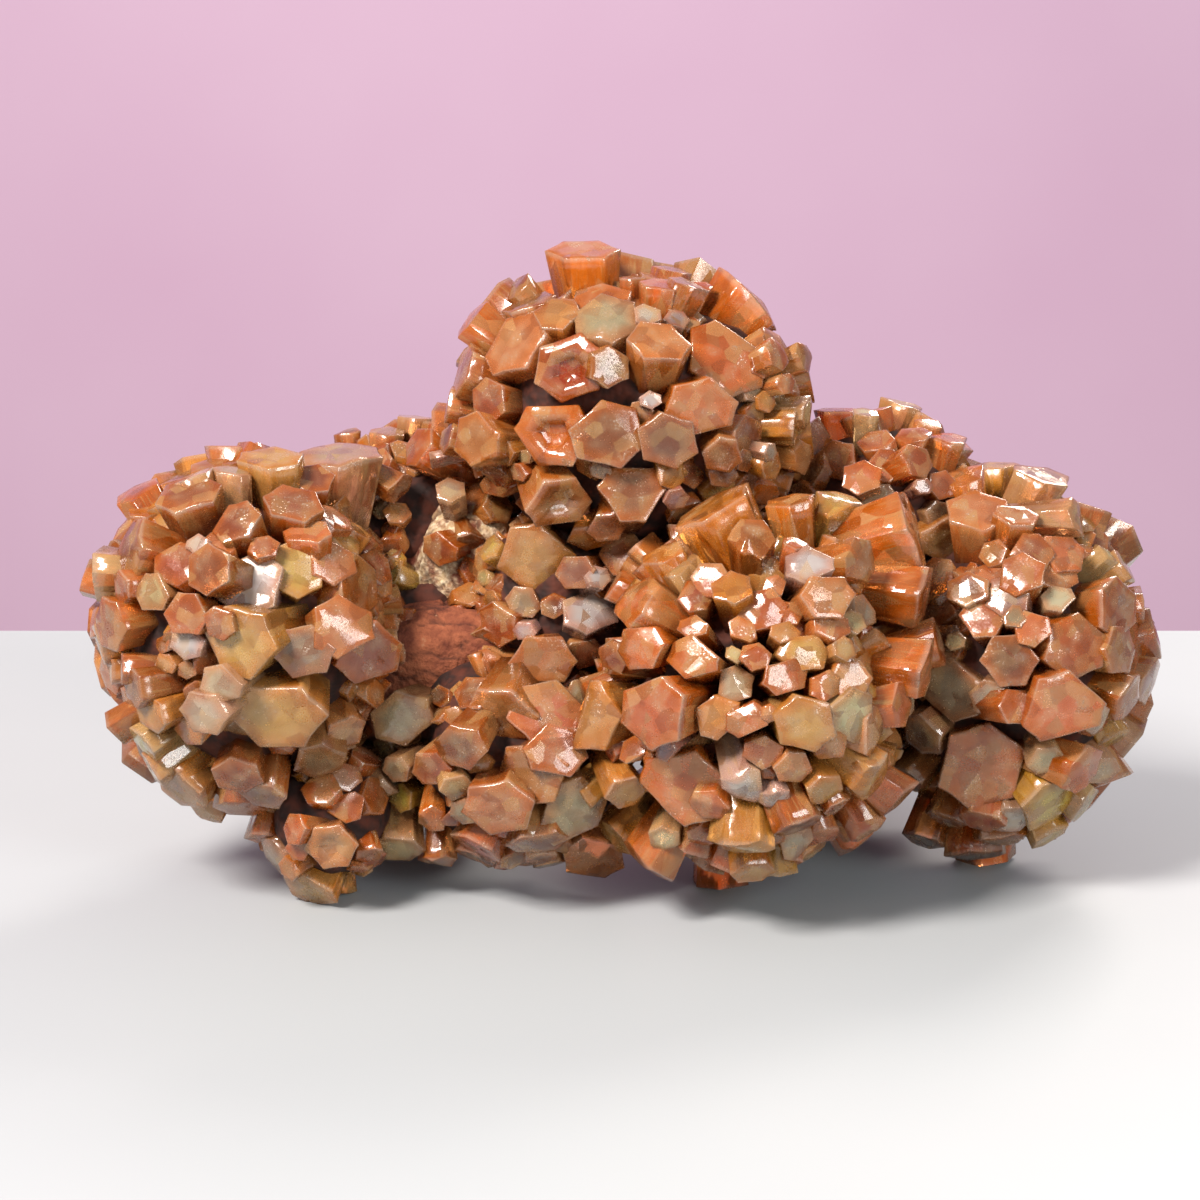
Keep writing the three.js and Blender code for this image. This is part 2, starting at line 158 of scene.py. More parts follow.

# %% [markdown]
# ## The crystals that the picture shows
# These rows are the specimen's likeness. Each has a tint, the middle of the crystal's end in the
# picture, and its width in millimetres. Where a crystal doesn't simply radiate, its aim follows
# (degrees, 0 right, 90 up) with its lean away from the viewer, and a few give the spin of their six
# sides and the ratio of their narrow width to their wide one.

# %% Seen crystals
# Some dark tints of crystals on the shaded underside hold painted shade besides their own colour.
SEEN_CRYSTALS = {
    "left": [
        ("smoke", 190, 490, 7.4, 105, 48, 30), ("pale", 194, 474, 6.4, 112, 82),
        ("grey", 233, 470, 4.4, 95, 72), ("peach", 270, 457, 7.0, 95, 62),
        ("rust", 292, 503, 6.4, 80, 42, 45), ("grey", 340, 452, 9.2, 85, 62),
        ("rust", 314, 478, 4.6, 80, 40), ("rust", 236, 520, 5.4, 110, 36),
        ("white", 196, 543, 2.8, 150, 30), ("mauve", 206, 570, 5.8, 160, 28),
        ("white", 249, 585, 8.0, 130, 14, 20), ("mauve", 263, 547, 3.4),
        ("peach", 299, 567, 6.4, 60, 18, 30), ("pink", 334, 564, 5.6, 10, 34, 90),
        ("mauve", 308, 530, 5.2, 90, 55), ("smoke", 128, 545, 7.6, 162, 66),
        ("pale", 98, 574, 8.0, 178, 84), ("orange", 108, 624, 6.2, 188, 56),
        ("mauve", 120, 588, 4.2, 185, 58), ("pale", 152, 592, 4.4, 175, 34),
        ("mauve", 184, 616, 5.4, 180, 22), ("smoke", 218, 624, 3.8, 200, 20),
        ("white", 186, 644, 4.2, 200, 24), ("peach", 240, 645, 8.4, 205, 32),
        ("pink", 342, 625, 7.6, 20, 26, 90), ("rust", 372, 655, 7.4, 340, 34),
        ("grey", 303, 650, 6.8, 0, 10), ("grey", 219, 686, 4.8, 205, 24),
        ("grey", 203, 716, 5.6, 215, 38), ("peach", 275, 716, 11.6, 255, 32, 0, 0.72),
        ("pink", 345, 735, 5.2, 300, 45), ("honey", 148, 712, 5.6, 205, 52),
        ("brown", 132, 688, 4.6, 190, 62), ("smoke", 121, 668, 4.4, 180, 82),
        ("clear", 141, 744, 5.0, 214, 68), ("clear", 151, 771, 4.4, 216, 72),
        ("honey", 178, 790, 7.2, 226, 62), ("honey", 203, 812, 5.2, 238, 68),
        ("mauve", 234, 777, 5.8, 262, 36), ("smoke", 262, 796, 5.6, 262, 54),
        ("smoke", 290, 806, 6.0, 275, 56), ("rust", 264, 840, 5.0, 258, 64),
        ("grey", 318, 762, 6.0, 265, 60),
    ],
    "foot": [
        ("pink", 331, 847, 6.0, 270, 14), ("honey", 308, 892, 7.0, 236, 58),
        ("mauve", 298, 850, 2.8), ("orange", 293, 830, 3.8, 175, 40),
        ("peach", 287, 868, 3.4, 205, 60), ("rust", 370, 856, 3.4, 285, 62),
    ],
    "low": [
        ("pale", 401, 850, 5.8, 272, 52), ("honey", 400, 797, 3.8, 200, 34),
        ("amber", 431, 822, 3.8, 265, 46), ("smoke", 436, 864, 4.2, 268, 68),
        ("pale", 459, 788, 3.8, 300, 34), ("grey", 464, 813, 3.6, 255, 40),
        ("pink", 500, 812, 8.0, 262, 24, 15), ("tan", 530, 772, 7.8, 200, 26),
        ("tan", 500, 714, 8.2, 250, 36), ("brown", 460, 748, 6.8, 235, 40),
        ("rust", 430, 770, 5.4, 225, 46), ("grey", 400, 720, 6.8, 215, 26),
        ("pale", 382, 748, 2.8, 210, 40), ("grey", 396, 770, 3.8, 215, 45),
        ("smoke", 472, 692, 4.6, 150, 30), ("mauve", 548, 712, 8.2, 60, 16),
        ("mauve", 556, 752, 6.4, 0, 16), ("pale", 573, 762, 2.2), ("grey", 572, 815, 8.6, 285, 34),
        ("pink", 595, 860, 7.8, 288, 40), ("brown", 537, 846, 6.2, 270, 62),
        ("honey", 578, 798, 5.0, 222, 76), ("honey", 612, 838, 6.6, 226, 76),
    ],
    "heart": [
        ("honey", 490, 546, 3.6), ("peach", 536, 562, 9.2, 240, 20, 10),
        ("white", 590, 612, 6.6, 60, 30), ("grey", 523, 604, 4.0), ("tan", 540, 660, 7.4, 270, 12),
        ("rust", 497, 625, 5.6, 195, 44), ("white", 523, 632, 2.6),
        ("smoke", 575, 572, 4.6, 200, 20), ("white", 598, 577, 3.0), ("mauve", 585, 655, 4.6),
        ("honey", 500, 506, 4.8, 30, 40), ("amber", 470, 500, 4.6, 150, 36),
    ],
    "hollow": [
        ("olive", 447, 640, 5.6, 250, 12), ("brown", 470, 543, 3.4, 290, 46),
        ("rust", 438, 550, 4.6, 200, 40),
    ],
    "saddle": [
        ("smoke", 400, 490, 4.0, 330, 60), ("pale", 416, 417, 4.4, 80, 78),
        ("pale", 386, 430, 4.4, 85, 75), ("brown", 347, 431, 3.0, 90, 80),
        ("grey", 450, 490, 3.6, 100, 40),
    ],
    "top": [
        ("tan", 560, 502, 7.6, 300, 34), ("smoke", 633, 493, 7.4, 80, 14, 0),
        ("smoke", 607, 527, 4.4), ("lilac", 676, 500, 3.2), ("orange", 583, 250, 8.0, 95, 66),
        ("pink", 512, 345, 8.2, 150, 44, 10), ("brown", 530, 300, 6.6, 122, 74),
        ("smoke", 462, 368, 7.2, 158, 78), ("mauve", 447, 404, 4.4, 170, 82),
        ("rust", 567, 372, 8.4, 200, 16, 20), ("olive", 610, 366, 4.8, 350, 24),
        ("tan", 560, 312, 5.4, 105, 40), ("grey", 606, 318, 7.6, 85, 42),
        ("tan", 658, 340, 7.4, 80, 38, 0), ("white", 647, 314, 3.2, 80, 30),
        ("pink", 631, 277, 3.2, 92, 76), ("mauve", 664, 282, 5.2, 84, 70),
        ("tan", 691, 283, 4.4, 62, 74), ("lilac", 677, 318, 3.0),
        ("orange", 752, 292, 9.4, 50, 74), ("orange", 728, 358, 9.2, 20, 32, 20),
        ("orange", 702, 408, 7.6, 320, 20), ("tan", 806, 355, 4.2, 22, 70),
        ("mauve", 779, 354, 4.2, 25, 58), ("brown", 764, 366, 3.2), ("grey", 752, 384, 4.6),
        ("mauve", 788, 384, 2.6, 10, 50), ("pale", 808, 412, 4.0, 0, 70),
        ("honey", 796, 428, 4.2, 0, 72), ("white", 771, 453, 2.6), ("honey", 772, 466, 4.0),
        ("tan", 806, 456, 4.2, 350, 62), ("smoke", 722, 455, 4.8, 290, 28),
        ("brown", 747, 460, 3.0), ("brown", 668, 442, 6.6, 300, 15), ("white", 651, 400, 2.4),
        ("orange", 553, 435, 8.2, 225, 15, 0), ("smoke", 608, 433, 7.6, 270, 8),
        ("tan", 475, 438, 6.4, 175, 48), ("brown", 446, 436, 4.2, 165, 70),
        ("rust", 488, 400, 5.6, 175, 42), ("white", 430, 460, 2.6),
        ("orange", 416, 445, 5.4, 150, 55), ("olive", 500, 450, 3.8), ("pale", 523, 457, 2.0),
        ("mauve", 517, 473, 2.4),
    ],
    "front": [
        ("peach", 628, 794, 4.8, 300, 40), ("brown", 607, 655, 3.8),
        ("amber", 706, 507, 10.0, 122, 76, 20), ("amber", 752, 532, 4.4), ("amber", 731, 588, 4.6),
        ("orange", 634, 598, 6.6, 150, 62), ("orange", 640, 648, 5.4, 185, 32),
        ("orange", 692, 658, 5.8), ("amber", 692, 626, 3.2), ("honey", 584, 712, 8.4, 181, 52, 0),
        ("orange", 652, 712, 8.0, 192, 34), ("lilac", 662, 750, 3.6), ("peach", 716, 716, 5.6),
        ("grey", 735, 686, 4.6), ("pale", 735, 654, 2.2), ("orange", 746, 722, 4.2),
        ("pink", 769, 714, 2.6), ("orange", 682, 788, 9.4, 245, 24, 15), ("mauve", 708, 805, 4.4),
        ("pale", 664, 840, 3.8, 250, 40), ("rust", 703, 838, 3.6, 262, 45),
        ("honey", 742, 852, 7.2, 268, 72, 0), ("honey", 752, 874, 4.6, 280, 60),
        ("white", 746, 788, 5.0, 285, 50), ("white", 775, 800, 3.2, 285, 50),
        ("mauve", 765, 753, 4.2), ("pink", 793, 768, 4.4), ("peach", 826, 792, 5.0, 300, 44),
        ("peach", 806, 728, 6.8, 320, 18), ("pale", 853, 716, 6.2, 345, 36),
        ("pink", 834, 748, 3.8), ("honey", 876, 782, 7.2, 325, 68),
        ("brown", 800, 828, 5.4, 295, 74), ("smoke", 838, 808, 4.2, 300, 70),
        ("mauve", 742, 628, 3.4), ("pink", 783, 632, 3.4), ("peach", 806, 651, 5.4),
        ("orange", 757, 655, 3.4), ("orange", 787, 676, 4.6), ("mauve", 826, 688, 3.8),
        ("pink", 846, 650, 3.2), ("tan", 851, 682, 4.8), ("mauve", 832, 625, 4.2),
        ("pale", 855, 622, 3.0), ("pink", 830, 596, 5.6, 30, 20),
        ("orange", 758, 608, 5.8, 100, 18), ("white", 808, 564, 5.4, 80, 24),
        ("mauve", 796, 542, 2.8), ("amber", 792, 500, 5.6, 98, 74),
        ("peach", 840, 498, 5.6, 72, 74), ("peach", 866, 562, 5.6, 10, 58),
        ("orange", 926, 598, 8.6, 352, 78, 0), ("orange", 930, 668, 8.2, 352, 72, 0),
        ("orange", 916, 530, 9.4, 14, 74, 0),
    ],
    "shoulder": [
        ("clear", 903, 402, 5.4, 72, 78), ("orange", 946, 436, 5.6, 78, 72),
        ("orange", 918, 460, 4.8, 25, 50), ("rust", 838, 409, 5.4, 100, 72),
        ("pale", 866, 412, 3.4, 85, 75), ("rust", 836, 458, 5.6), ("mauve", 860, 476, 4.4),
        ("rust", 884, 465, 4.4), ("mauve", 942, 486, 3.8), ("lilac", 924, 486, 2.2),
        ("olive", 948, 540, 7.2), ("grey", 938, 514, 3.8),
    ],
    "right": [
        ("pink", 978, 510, 7.2, 96, 52), ("pink", 1017, 514, 5.0, 80, 50),
        ("honey", 998, 464, 5.8, 95, 78), ("clear", 1043, 474, 6.8, 62, 78),
        ("pale", 1080, 515, 5.2, 2, 78), ("mauve", 1035, 550, 5.2, 65, 28),
        ("mauve", 1066, 552, 5.8, 42, 44), ("mauve", 1020, 574, 5.0),
        ("pink", 1060, 576, 4.8, 20, 40), ("white", 1005, 596, 5.0, 150, 24),
        ("brown", 966, 590, 4.8), ("grey", 1058, 597, 3.6), ("clear", 1110, 553, 4.6, 42, 78),
        ("clear", 1126, 565, 4.4, 36, 80), ("orange", 1119, 609, 7.8, 4, 44),
        ("pink", 1144, 604, 4.8, 2, 80), ("orange", 1076, 650, 8.4, 345, 32),
        ("tan", 1124, 650, 7.2, 0, 58), ("tan", 1130, 698, 6.6, 338, 64),
        ("orange", 1062, 708, 9.4, 315, 20), ("clear", 1100, 722, 4.6, 330, 64),
        ("brown", 1012, 660, 6.2), ("orange", 982, 616, 5.2), ("grey", 1015, 616, 2.8),
        ("mauve", 1034, 628, 4.4), ("mauve", 1020, 706, 4.8, 0, 30), ("grey", 992, 697, 4.8),
        ("grey", 950, 690, 8.2), ("grey", 921, 737, 6.2), ("orange", 982, 768, 10.2, 270, 18, 20),
        ("grey", 1047, 762, 4.8), ("orange", 1088, 770, 6.4, 340, 56),
        ("honey", 1052, 805, 8.2, 308, 48), ("clear", 1086, 808, 5.4, 318, 70),
        ("white", 1014, 820, 5.0, 275, 50), ("tan", 1000, 843, 6.0, 272, 66),
        ("mauve", 908, 779, 4.4), ("brown", 945, 822, 5.4), ("rust", 982, 822, 5.2),
        ("brown", 975, 858, 6.4, 268, 74), ("brown", 925, 842, 5.6, 250, 72),
        ("honey", 1050, 838, 5.0, 295, 68), ("pale", 955, 641, 2.4),
    ],
}
print(sum(len(rows) for rows in SEEN_CRYSTALS.values()), "crystals read from the picture")

# %% [markdown]
# ## From rows to crystals in space
# The line of sight through a row's picture point meets the ball at the middle of the crystal's end. A
# small seeded shift along that line keeps neighbouring ends from lying on one smooth skin. All the
# crystals of a ball are kept together, one array for each property, so that later steps can work on
# all of them at once.

# %% Lines of sight on a ball
draw = np.random.default_rng(11)


def unit(vectors):
    """Each vector divided by its own length."""
    return vectors / np.linalg.norm(vectors, axis=-1, keepdims=True)


def points_on_ball(pixels, ball):
    """Where lines of sight meet a ball, or pass closest to it when they miss."""
    lines = sight_lines(pixels)
    steps = lines / ball_radii[ball]
    to_centre = (ball_centres[ball] - viewer) / ball_radii[ball]
    squared = (steps * steps).sum(1)
    nearest = (steps @ to_centre) / squared
    miss = to_centre - nearest[:, None] * steps
    depth = np.sqrt(np.maximum(1 - (miss * miss).sum(1), 0) / squared)
    return viewer + lines * (nearest - depth)[:, None]


def aimed_axes(aim, lean):
    """Axes from aims in the picture and leans away from the viewer, both in degrees."""
    turn = np.radians(aim)[:, None]
    tilt = np.radians(lean)[:, None]
    sideways = np.cos(turn) * rightward + np.sin(turn) * upward
    return np.sin(tilt) * sideways - np.cos(tilt) * forward


print("an aim of 90 degrees with a lean of 90 is", np.round(aimed_axes(np.array([90]), np.array([90])), 2))

# %% [markdown]
# A listed width is read across the flats, so it is widened to the corners. Crystals are as long as a
# share of the way to the ball's middle, but no longer than a few widths, or than 9 mm where that is
# more. A few ends are seen to be hollow, and the grey, pale, lilac and clear crystals are glassy.

# %% Seen crystals in space
DEFAULT_RATIO = 0.9
WIDTH_OVER_CORNERS = 1.15
LENGTH_SHARE = 0.55
LONGEST_IN_WIDTHS = 2.2
LONGEST_OF_THIN = 9 * MM
DEPTH_SPREAD = 1.3 * MM
SIDE_TURN = 60
SPIN_PER_PIXEL = np.array([7, 13])
GLASSY_TINTS = ("clear", "grey", "pale", "lilac")
HOLLOW_ENDS = {(567, 372): 0.12, (553, 435): 0.16, (560, 502): 0.07, (331, 847): 0.05}


def column(rows, index, default):
    """One value of every row, or a default where a row is too short to give it."""
    return np.array([row[index] if len(row) > index else default for row in rows], float)


def seen_crystals(name):
    """The listed crystals of one ball as arrays: end, axis, width, length, spin, ratio, tint, whether it
    is glassy, how hollow its end is as a share of its width, and its ball. A spin that isn't given
    differs from crystal to crystal with its place in the picture."""
    rows = SEEN_CRYSTALS[name]
    ball = ball_names.index(name)
    pixels = np.array([row[1:3] for row in rows], float)
    on_ball = points_on_ball(pixels, ball)
    ends = on_ball + sight_lines(pixels) * draw.normal(0, DEPTH_SPREAD, (len(rows), 1))
    across = column(rows, 3, np.nan) * MM * WIDTH_OVER_CORNERS
    reach = np.linalg.norm(ends - ball_centres[ball], axis=1) * LENGTH_SHARE
    aim = column(rows, 4, np.nan)
    lean = column(rows, 5, np.nan)
    spin = column(rows, 6, np.nan)
    radial = unit(on_ball - ball_centres[ball])
    return {
        "end": ends,
        "axis": np.where(np.isnan(aim)[:, None], radial, aimed_axes(aim, lean)),
        "across": across,
        "length": np.minimum(reach, np.maximum(LONGEST_IN_WIDTHS * across, LONGEST_OF_THIN)),
        "spin": np.where(np.isnan(spin), (pixels @ SPIN_PER_PIXEL) % SIDE_TURN, spin),
        "ratio": column(rows, 7, DEFAULT_RATIO),
        "colour": np.array([tint_colours[row[0]] for row in rows]),
        "clear": np.array([row[0] in GLASSY_TINTS for row in rows]),
        "hollow": np.array([HOLLOW_ENDS.get(row[1:3], 0) for row in rows]),
        "ball": np.full(len(rows), ball),
    }


def joined(groups):
    """Several sets of crystals as one."""
    return {key: np.concatenate([group[key] for group in groups]) for key in groups[0]}


seen = joined([seen_crystals(name) for name in SEEN_CRYSTALS])
print("the longest seen crystal reaches", round(seen["length"].max() / MM, 1), "mm into the cluster")

# %% [markdown]
# ## The crystals that carry the cluster
# Five stubby crystals end on the table, where the solids rest. They are placed from above, straight
# down, so they need no line of sight: a tint, millimetres right of and behind the target, and a width.

# %% Standing crystals
STANDING_CRYSTALS = {
    "foot": ("honey", -32, -6, 5),
    "front": ("rust", 15, -2, 7),
    "right": ("brown", 49, 9, 8),
    "back_right": ("tan", 30, 27, 9),
    "back_left": ("orange", -27, 23, 9),
}
STANDING_LENGTH_SHARE = 0.8
STANDING_SPIN_STEP = 25.0
standing_balls = np.array([ball_names.index(name) for name in STANDING_CRYSTALS])
standing_rows = np.array([row[1:] for row in STANDING_CRYSTALS.values()], float) * MM
standing_count = len(standing_rows)
standing = {
    "end": np.column_stack([standing_rows[:, :2] + VIEW_TARGET[:2], np.zeros(standing_count)]),
    "axis": np.tile([0.0, 0.0, -1.0], (standing_count, 1)),
    "across": standing_rows[:, 2],
    "length": ball_centres[standing_balls, 2] * STANDING_LENGTH_SHARE,
    "spin": np.arange(standing_count) * STANDING_SPIN_STEP,
    "ratio": np.full(standing_count, DEFAULT_RATIO),
    "colour": np.array([tint_colours[row[0]] for row in STANDING_CRYSTALS.values()]),
    "clear": np.zeros(standing_count, bool),
    "hollow": np.zeros(standing_count),
    "ball": standing_balls,
}
print(standing_count, "standing crystals")

# %% [markdown]
# ## The crystals behind and between
# The picture hides the back and can't be read down to the last small crystal. Points spread by the
# golden angle cover each ball evenly, and each point becomes a crystal with a tint, a width and a spin
# drawn at random. Iron-stained tints are common, pale ones are rare.

# %% Scatter over a ball
GOLDEN_TURN = np.pi * (3 - np.sqrt(5))
POINT_WANDER = 0.05
SCATTERED_RATIOS = (0.8, 1.0)
COMMON_TINTS = {
    "smoke": 0.10, "mauve": 0.14, "pink": 0.11, "peach": 0.09, "orange": 0.15, "amber": 0.07,
    "honey": 0.08, "rust": 0.10, "brown": 0.06, "tan": 0.05, "grey": 0.03, "pale": 0.02,
}


def scattered(ball, spacing, reaches, widths, wander):
    """Crystals on one ball: heights in equal steps, each turned by the golden angle from the last."""
    area = 4 * np.pi * np.prod(ball_radii[ball]) ** (2 / 3)
    count = int(area / spacing ** 2)
    height = 1 - (2 * np.arange(count) + 1) / count
    turn = np.arange(count) * GOLDEN_TURN + ball
    level = np.sqrt(1 - height * height)
    direction = np.column_stack([level * np.cos(turn), level * np.sin(turn), height])
    direction = unit(direction + draw.normal(0, POINT_WANDER, (count, 3)))
    outward = direction * ball_radii[ball] * draw.uniform(*reaches, (count, 1))
    chosen = draw.choice(len(COMMON_TINTS), count, p=list(COMMON_TINTS.values()))
    tints = [list(COMMON_TINTS)[index] for index in chosen]
    return {
        "end": ball_centres[ball] + outward,
        "axis": unit(unit(outward) + draw.normal(0, wander, (count, 3))),
        "across": draw.uniform(*widths, count),
        "length": np.linalg.norm(outward, axis=1) * LENGTH_SHARE,
        "spin": draw.uniform(0, SIDE_TURN, count),
        "ratio": draw.uniform(*SCATTERED_RATIOS, count),
        "colour": np.array([tint_colours[tint] for tint in tints]),
        "clear": np.array([tint in GLASSY_TINTS for tint in tints]),
        "hollow": np.zeros(count),
        "ball": np.full(count, ball),
    }


print("golden angle", round(float(np.degrees(GOLDEN_TURN)), 1), "degrees")

# %% [markdown]
# A scattered crystal is dropped where it is buried: inside another ball, inside a crystal that is
# already there, or under the table.

# %% Room for a crystal
TABLE_CLEARANCE = 1.2 * MM
END_MARGIN = 1.5 * MM


def picked(crystals, keep):
    """The crystals of a set where `keep` is true."""
    return {key: values[keep] for key, values in crystals.items()}


def inside_other_balls(crystals, share):
    """Whether each end lies inside another ball shrunk to a share of its radii."""
    offsets = (crystals["end"][:, None] - ball_centres) / (ball_radii * share)
    inside = (offsets * offsets).sum(2) < 1
    inside[np.arange(len(inside)), crystals["ball"]] = False
    return inside.any(1)


def inside_crystals(ends, others, share):
    """Whether each point is in one of the other crystals, by its depth and its distance from the axis."""
    offsets = ends[:, None] - others["end"]
    depth = -(offsets * others["axis"]).sum(2)
    away = np.sqrt(np.maximum((offsets * offsets).sum(2) - depth * depth, 0))
    within = (away < others["across"] * share) & (depth > -END_MARGIN) & (depth < others["length"])
    return within.any(1)


def covering(ball_share, **pattern):
    """Scattered crystals of all the balls, less those buried in another ball or under the table."""
    everywhere = joined([scattered(ball, **pattern) for ball in range(len(BALLS))])
    clear_of_table = everywhere["end"][:, 2] - everywhere["across"] / 2 > TABLE_CLEARANCE
    return picked(everywhere, clear_of_table & ~inside_other_balls(everywhere, ball_share))


print(int(inside_other_balls(seen, 1.0).sum()), "seen ends lie inside a second ball")

# %% [markdown]
# The picture must still show what it shows: a scattered crystal is dropped where it would stand in
# front of a seen one, and in the bare valley where the clay lies. Towards the sky the first rule is
# eased, because a gap up there would be open to a look from above.

# %% Keeping the view free
CROWN_VISIBLE_LENGTH = 0.15
CROWN_TILT = 0.45
VALLEY_LINE = ((424, 500), (446, 668))
VALLEY_FACING = 0.1


def picture_points(points):
    """Where points show in the picture, in pixels right of and below its centre: their offsets right
    and down, over their distance ahead."""
    offsets = points - viewer
    ahead = offsets @ forward
    sideways = np.stack([offsets @ rightward, -(offsets @ upward)], axis=-1)
    return sideways * (focal_pixels / ahead)[..., None]


def in_front_of(points, others, visible_length):
    """Whether each point would hide a crystal's end or the near part of its sides: in the picture, it
    lies closer to the line from the crystal's end to a point down its axis than half its width."""
    visible = others["axis"] * others["across"][:, None] * visible_length
    ends = picture_points(others["end"])
    down = picture_points(others["end"] - visible) - ends
    offsets = picture_points(points)[:, None] - ends
    share = np.clip((offsets * down).sum(2) / (down * down).sum(1), 0, 1)
    away = np.linalg.norm(offsets - share[..., None] * down, axis=2)
    half_width = others["across"] / 2 * focal_pixels / VIEW_DISTANCE
    axis_depth = others["end"] @ forward - share * (visible @ forward)
    nearer = (points @ forward)[:, None] < axis_depth
    return ((away < half_width) & nearer).any(1)


def in_valley(crystals, half_width):
    """Whether each crystal would grow in the bare valley: it faces the viewer, and in the picture it
    lies within a half width of the line down the valley's middle."""
    middle = np.array(VALLEY_LINE, float) - PICTURE_PIXELS / 2
    down = middle[1] - middle[0]
    offsets = picture_points(crystals["end"]) - middle[0]
    share = np.clip(offsets @ down / (down @ down), 0, 1)
    away = np.linalg.norm(offsets - share[:, None] * down, axis=1)
    return (away < half_width) & (crystals["axis"] @ forward < VALLEY_FACING)


def hiding_none(crystals, visible_length):
    """The crystals that hide no end and no near side of the seen ones. Those that face up may hide more
    of the sides."""
    in_the_way = in_front_of(crystals["end"], seen, visible_length)
    before_an_end = in_front_of(crystals["end"], seen, CROWN_VISIBLE_LENGTH)
    faces_up = crystals["axis"][:, 2] > CROWN_TILT
    return picked(crystals, ~np.where(faces_up, before_an_end, in_the_way))


print("the valley is", VALLEY_LINE[1][1] - VALLEY_LINE[0][1], "pixels long")

# %% [markdown]
# Three sizes grow one after the other, each where the last ones left room. Wide ones cover the sides
# that nobody sees, medium ones the wide gaps, and small ones fill what is left all round, a little
# deeper in.

# %% Hidden, medium and small crystals
HIDDEN = {"spacing": 6.4 * MM, "reaches": (0.88, 1.07), "widths": (4.4 * MM, 9.6 * MM), "wander": 0.12}
MEDIUM = {"spacing": 4.6 * MM, "reaches": (0.86, 0.98), "widths": (4.0 * MM, 7.5 * MM), "wander": 0.16}
SMALL = {"spacing": 2.4 * MM, "reaches": (0.80, 0.94), "widths": (2.0 * MM, 4.6 * MM), "wander": 0.18}
HIDDEN_ROOM = {"ball_share": 0.9, "crowding": 0.75, "valley": 52, "visible_length": 0.7}
MEDIUM_ROOM = {"ball_share": 0.88, "crowding": 0.55, "valley": 52, "visible_length": 0.6}
SMALL_ROOM = {"ball_share": 0.84, "crowding": 0.5, "valley": 26, "visible_length": 0.45}
HIDDEN_FACING = 0.6


def grown(others, pattern, ball_share, crowding, valley, visible_length):
    """Scattered crystals of one size that find room beside the others: out of them, out of the valley
    by a half width in pixels, and in front of no seen crystal."""
    crystals = covering(ball_share, **pattern)
    crystals = picked(crystals, ~inside_crystals(crystals["end"], others, crowding))
    crystals = picked(crystals, ~in_valley(crystals, valley))
    return hiding_none(crystals, visible_length)


hidden = grown(seen, HIDDEN, **HIDDEN_ROOM)
hidden = picked(hidden, -(hidden["axis"] @ forward) < HIDDEN_FACING)
medium = grown(joined([seen, hidden]), MEDIUM, **MEDIUM_ROOM)
small = grown(joined([seen, standing, hidden, medium]), SMALL, **SMALL_ROOM)
print(len(hidden["end"]), "hidden,", len(medium["end"]), "medium and", len(small["end"]), "small crystals")

# %% [markdown]
# ## The shape of a crystal
# A blunt aragonite crystal is a six-sided prism, wider at its end than at its root, with fluted
# sides and an end that is terraced, hollow or chipped. A cube or cylinder with modifiers would look
# machined, so each one is a grid: six side lines at uneven distances give an outline, and rings of that
# outline are carried from the middle of the end, over its rim, down the sides to the root. Chipped
# crystals are the more uneven ones. All crystals are worked out in one go, as arrays.

# %% Crystal outline
SIDES = 6
CORNER_CUT = 0.025
SIDE_UNEVENNESS = 0.12
CHIPPED_UNEVENNESS = 0.16
FLUTE_DEPTH = 0.05


def crystal_outlines(crystals, side_points):
    """Six-sided outlines across each crystal: corners where neighbouring side lines cross, then points
    at fixed shares along each side, so the corners are cut a little. Inner points sink into flutes."""
    count = len(crystals["spin"])
    normals = np.radians(crystals["spin"][:, None] + SIDE_TURN * (np.arange(SIDES) + 0.5))
    unevenness = SIDE_UNEVENNESS + CHIPPED_UNEVENNESS * crystals["chipped"][:, None]
    distance = np.cos(np.pi / SIDES) * (1 + draw.uniform(-1, 1, (count, SIDES)) * unevenness)
    normals_before = np.roll(normals, 1, axis=1)
    distance_before = np.roll(distance, 1, axis=1)
    wide = distance_before * np.sin(normals) - distance * np.sin(normals_before)
    narrow = distance * np.cos(normals_before) - distance_before * np.cos(normals)
    corners = np.stack([wide, narrow], axis=2) / np.sin(np.radians(SIDE_TURN))
    following = np.roll(corners, -1, axis=1)
    share = np.linspace(CORNER_CUT, 1 - CORNER_CUT, side_points)[:, None]
    points = corners[:, :, None] * (1 - share) + following[:, :, None] * share
    inner = np.minimum(np.arange(side_points), np.arange(side_points)[::-1]) > 0
    flutes = 1 - FLUTE_DEPTH * draw.uniform(0, 1, (count, SIDES, side_points)) * inner
    points = (points * flutes[..., None]).reshape(count, SIDES * side_points, 2)
    squeeze = np.stack([np.ones(count), crystals["ratio"]], axis=1)
    return points * (crystals["across"][:, None] * squeeze / 2)[:, None]


print(SIDES, "sides,", SIDE_TURN, "degrees apart")

# %% [markdown]
# Broken ends are planes that cut off a part of the end. Each crystal gets a few, more or less steep, so
# that hardly two ends are broken alike.

# %% Chips
CHIPS = 4
CHIP_STARTS = (0.05, 0.42)
CHIP_STEEPNESS = (0.3, 1.0)


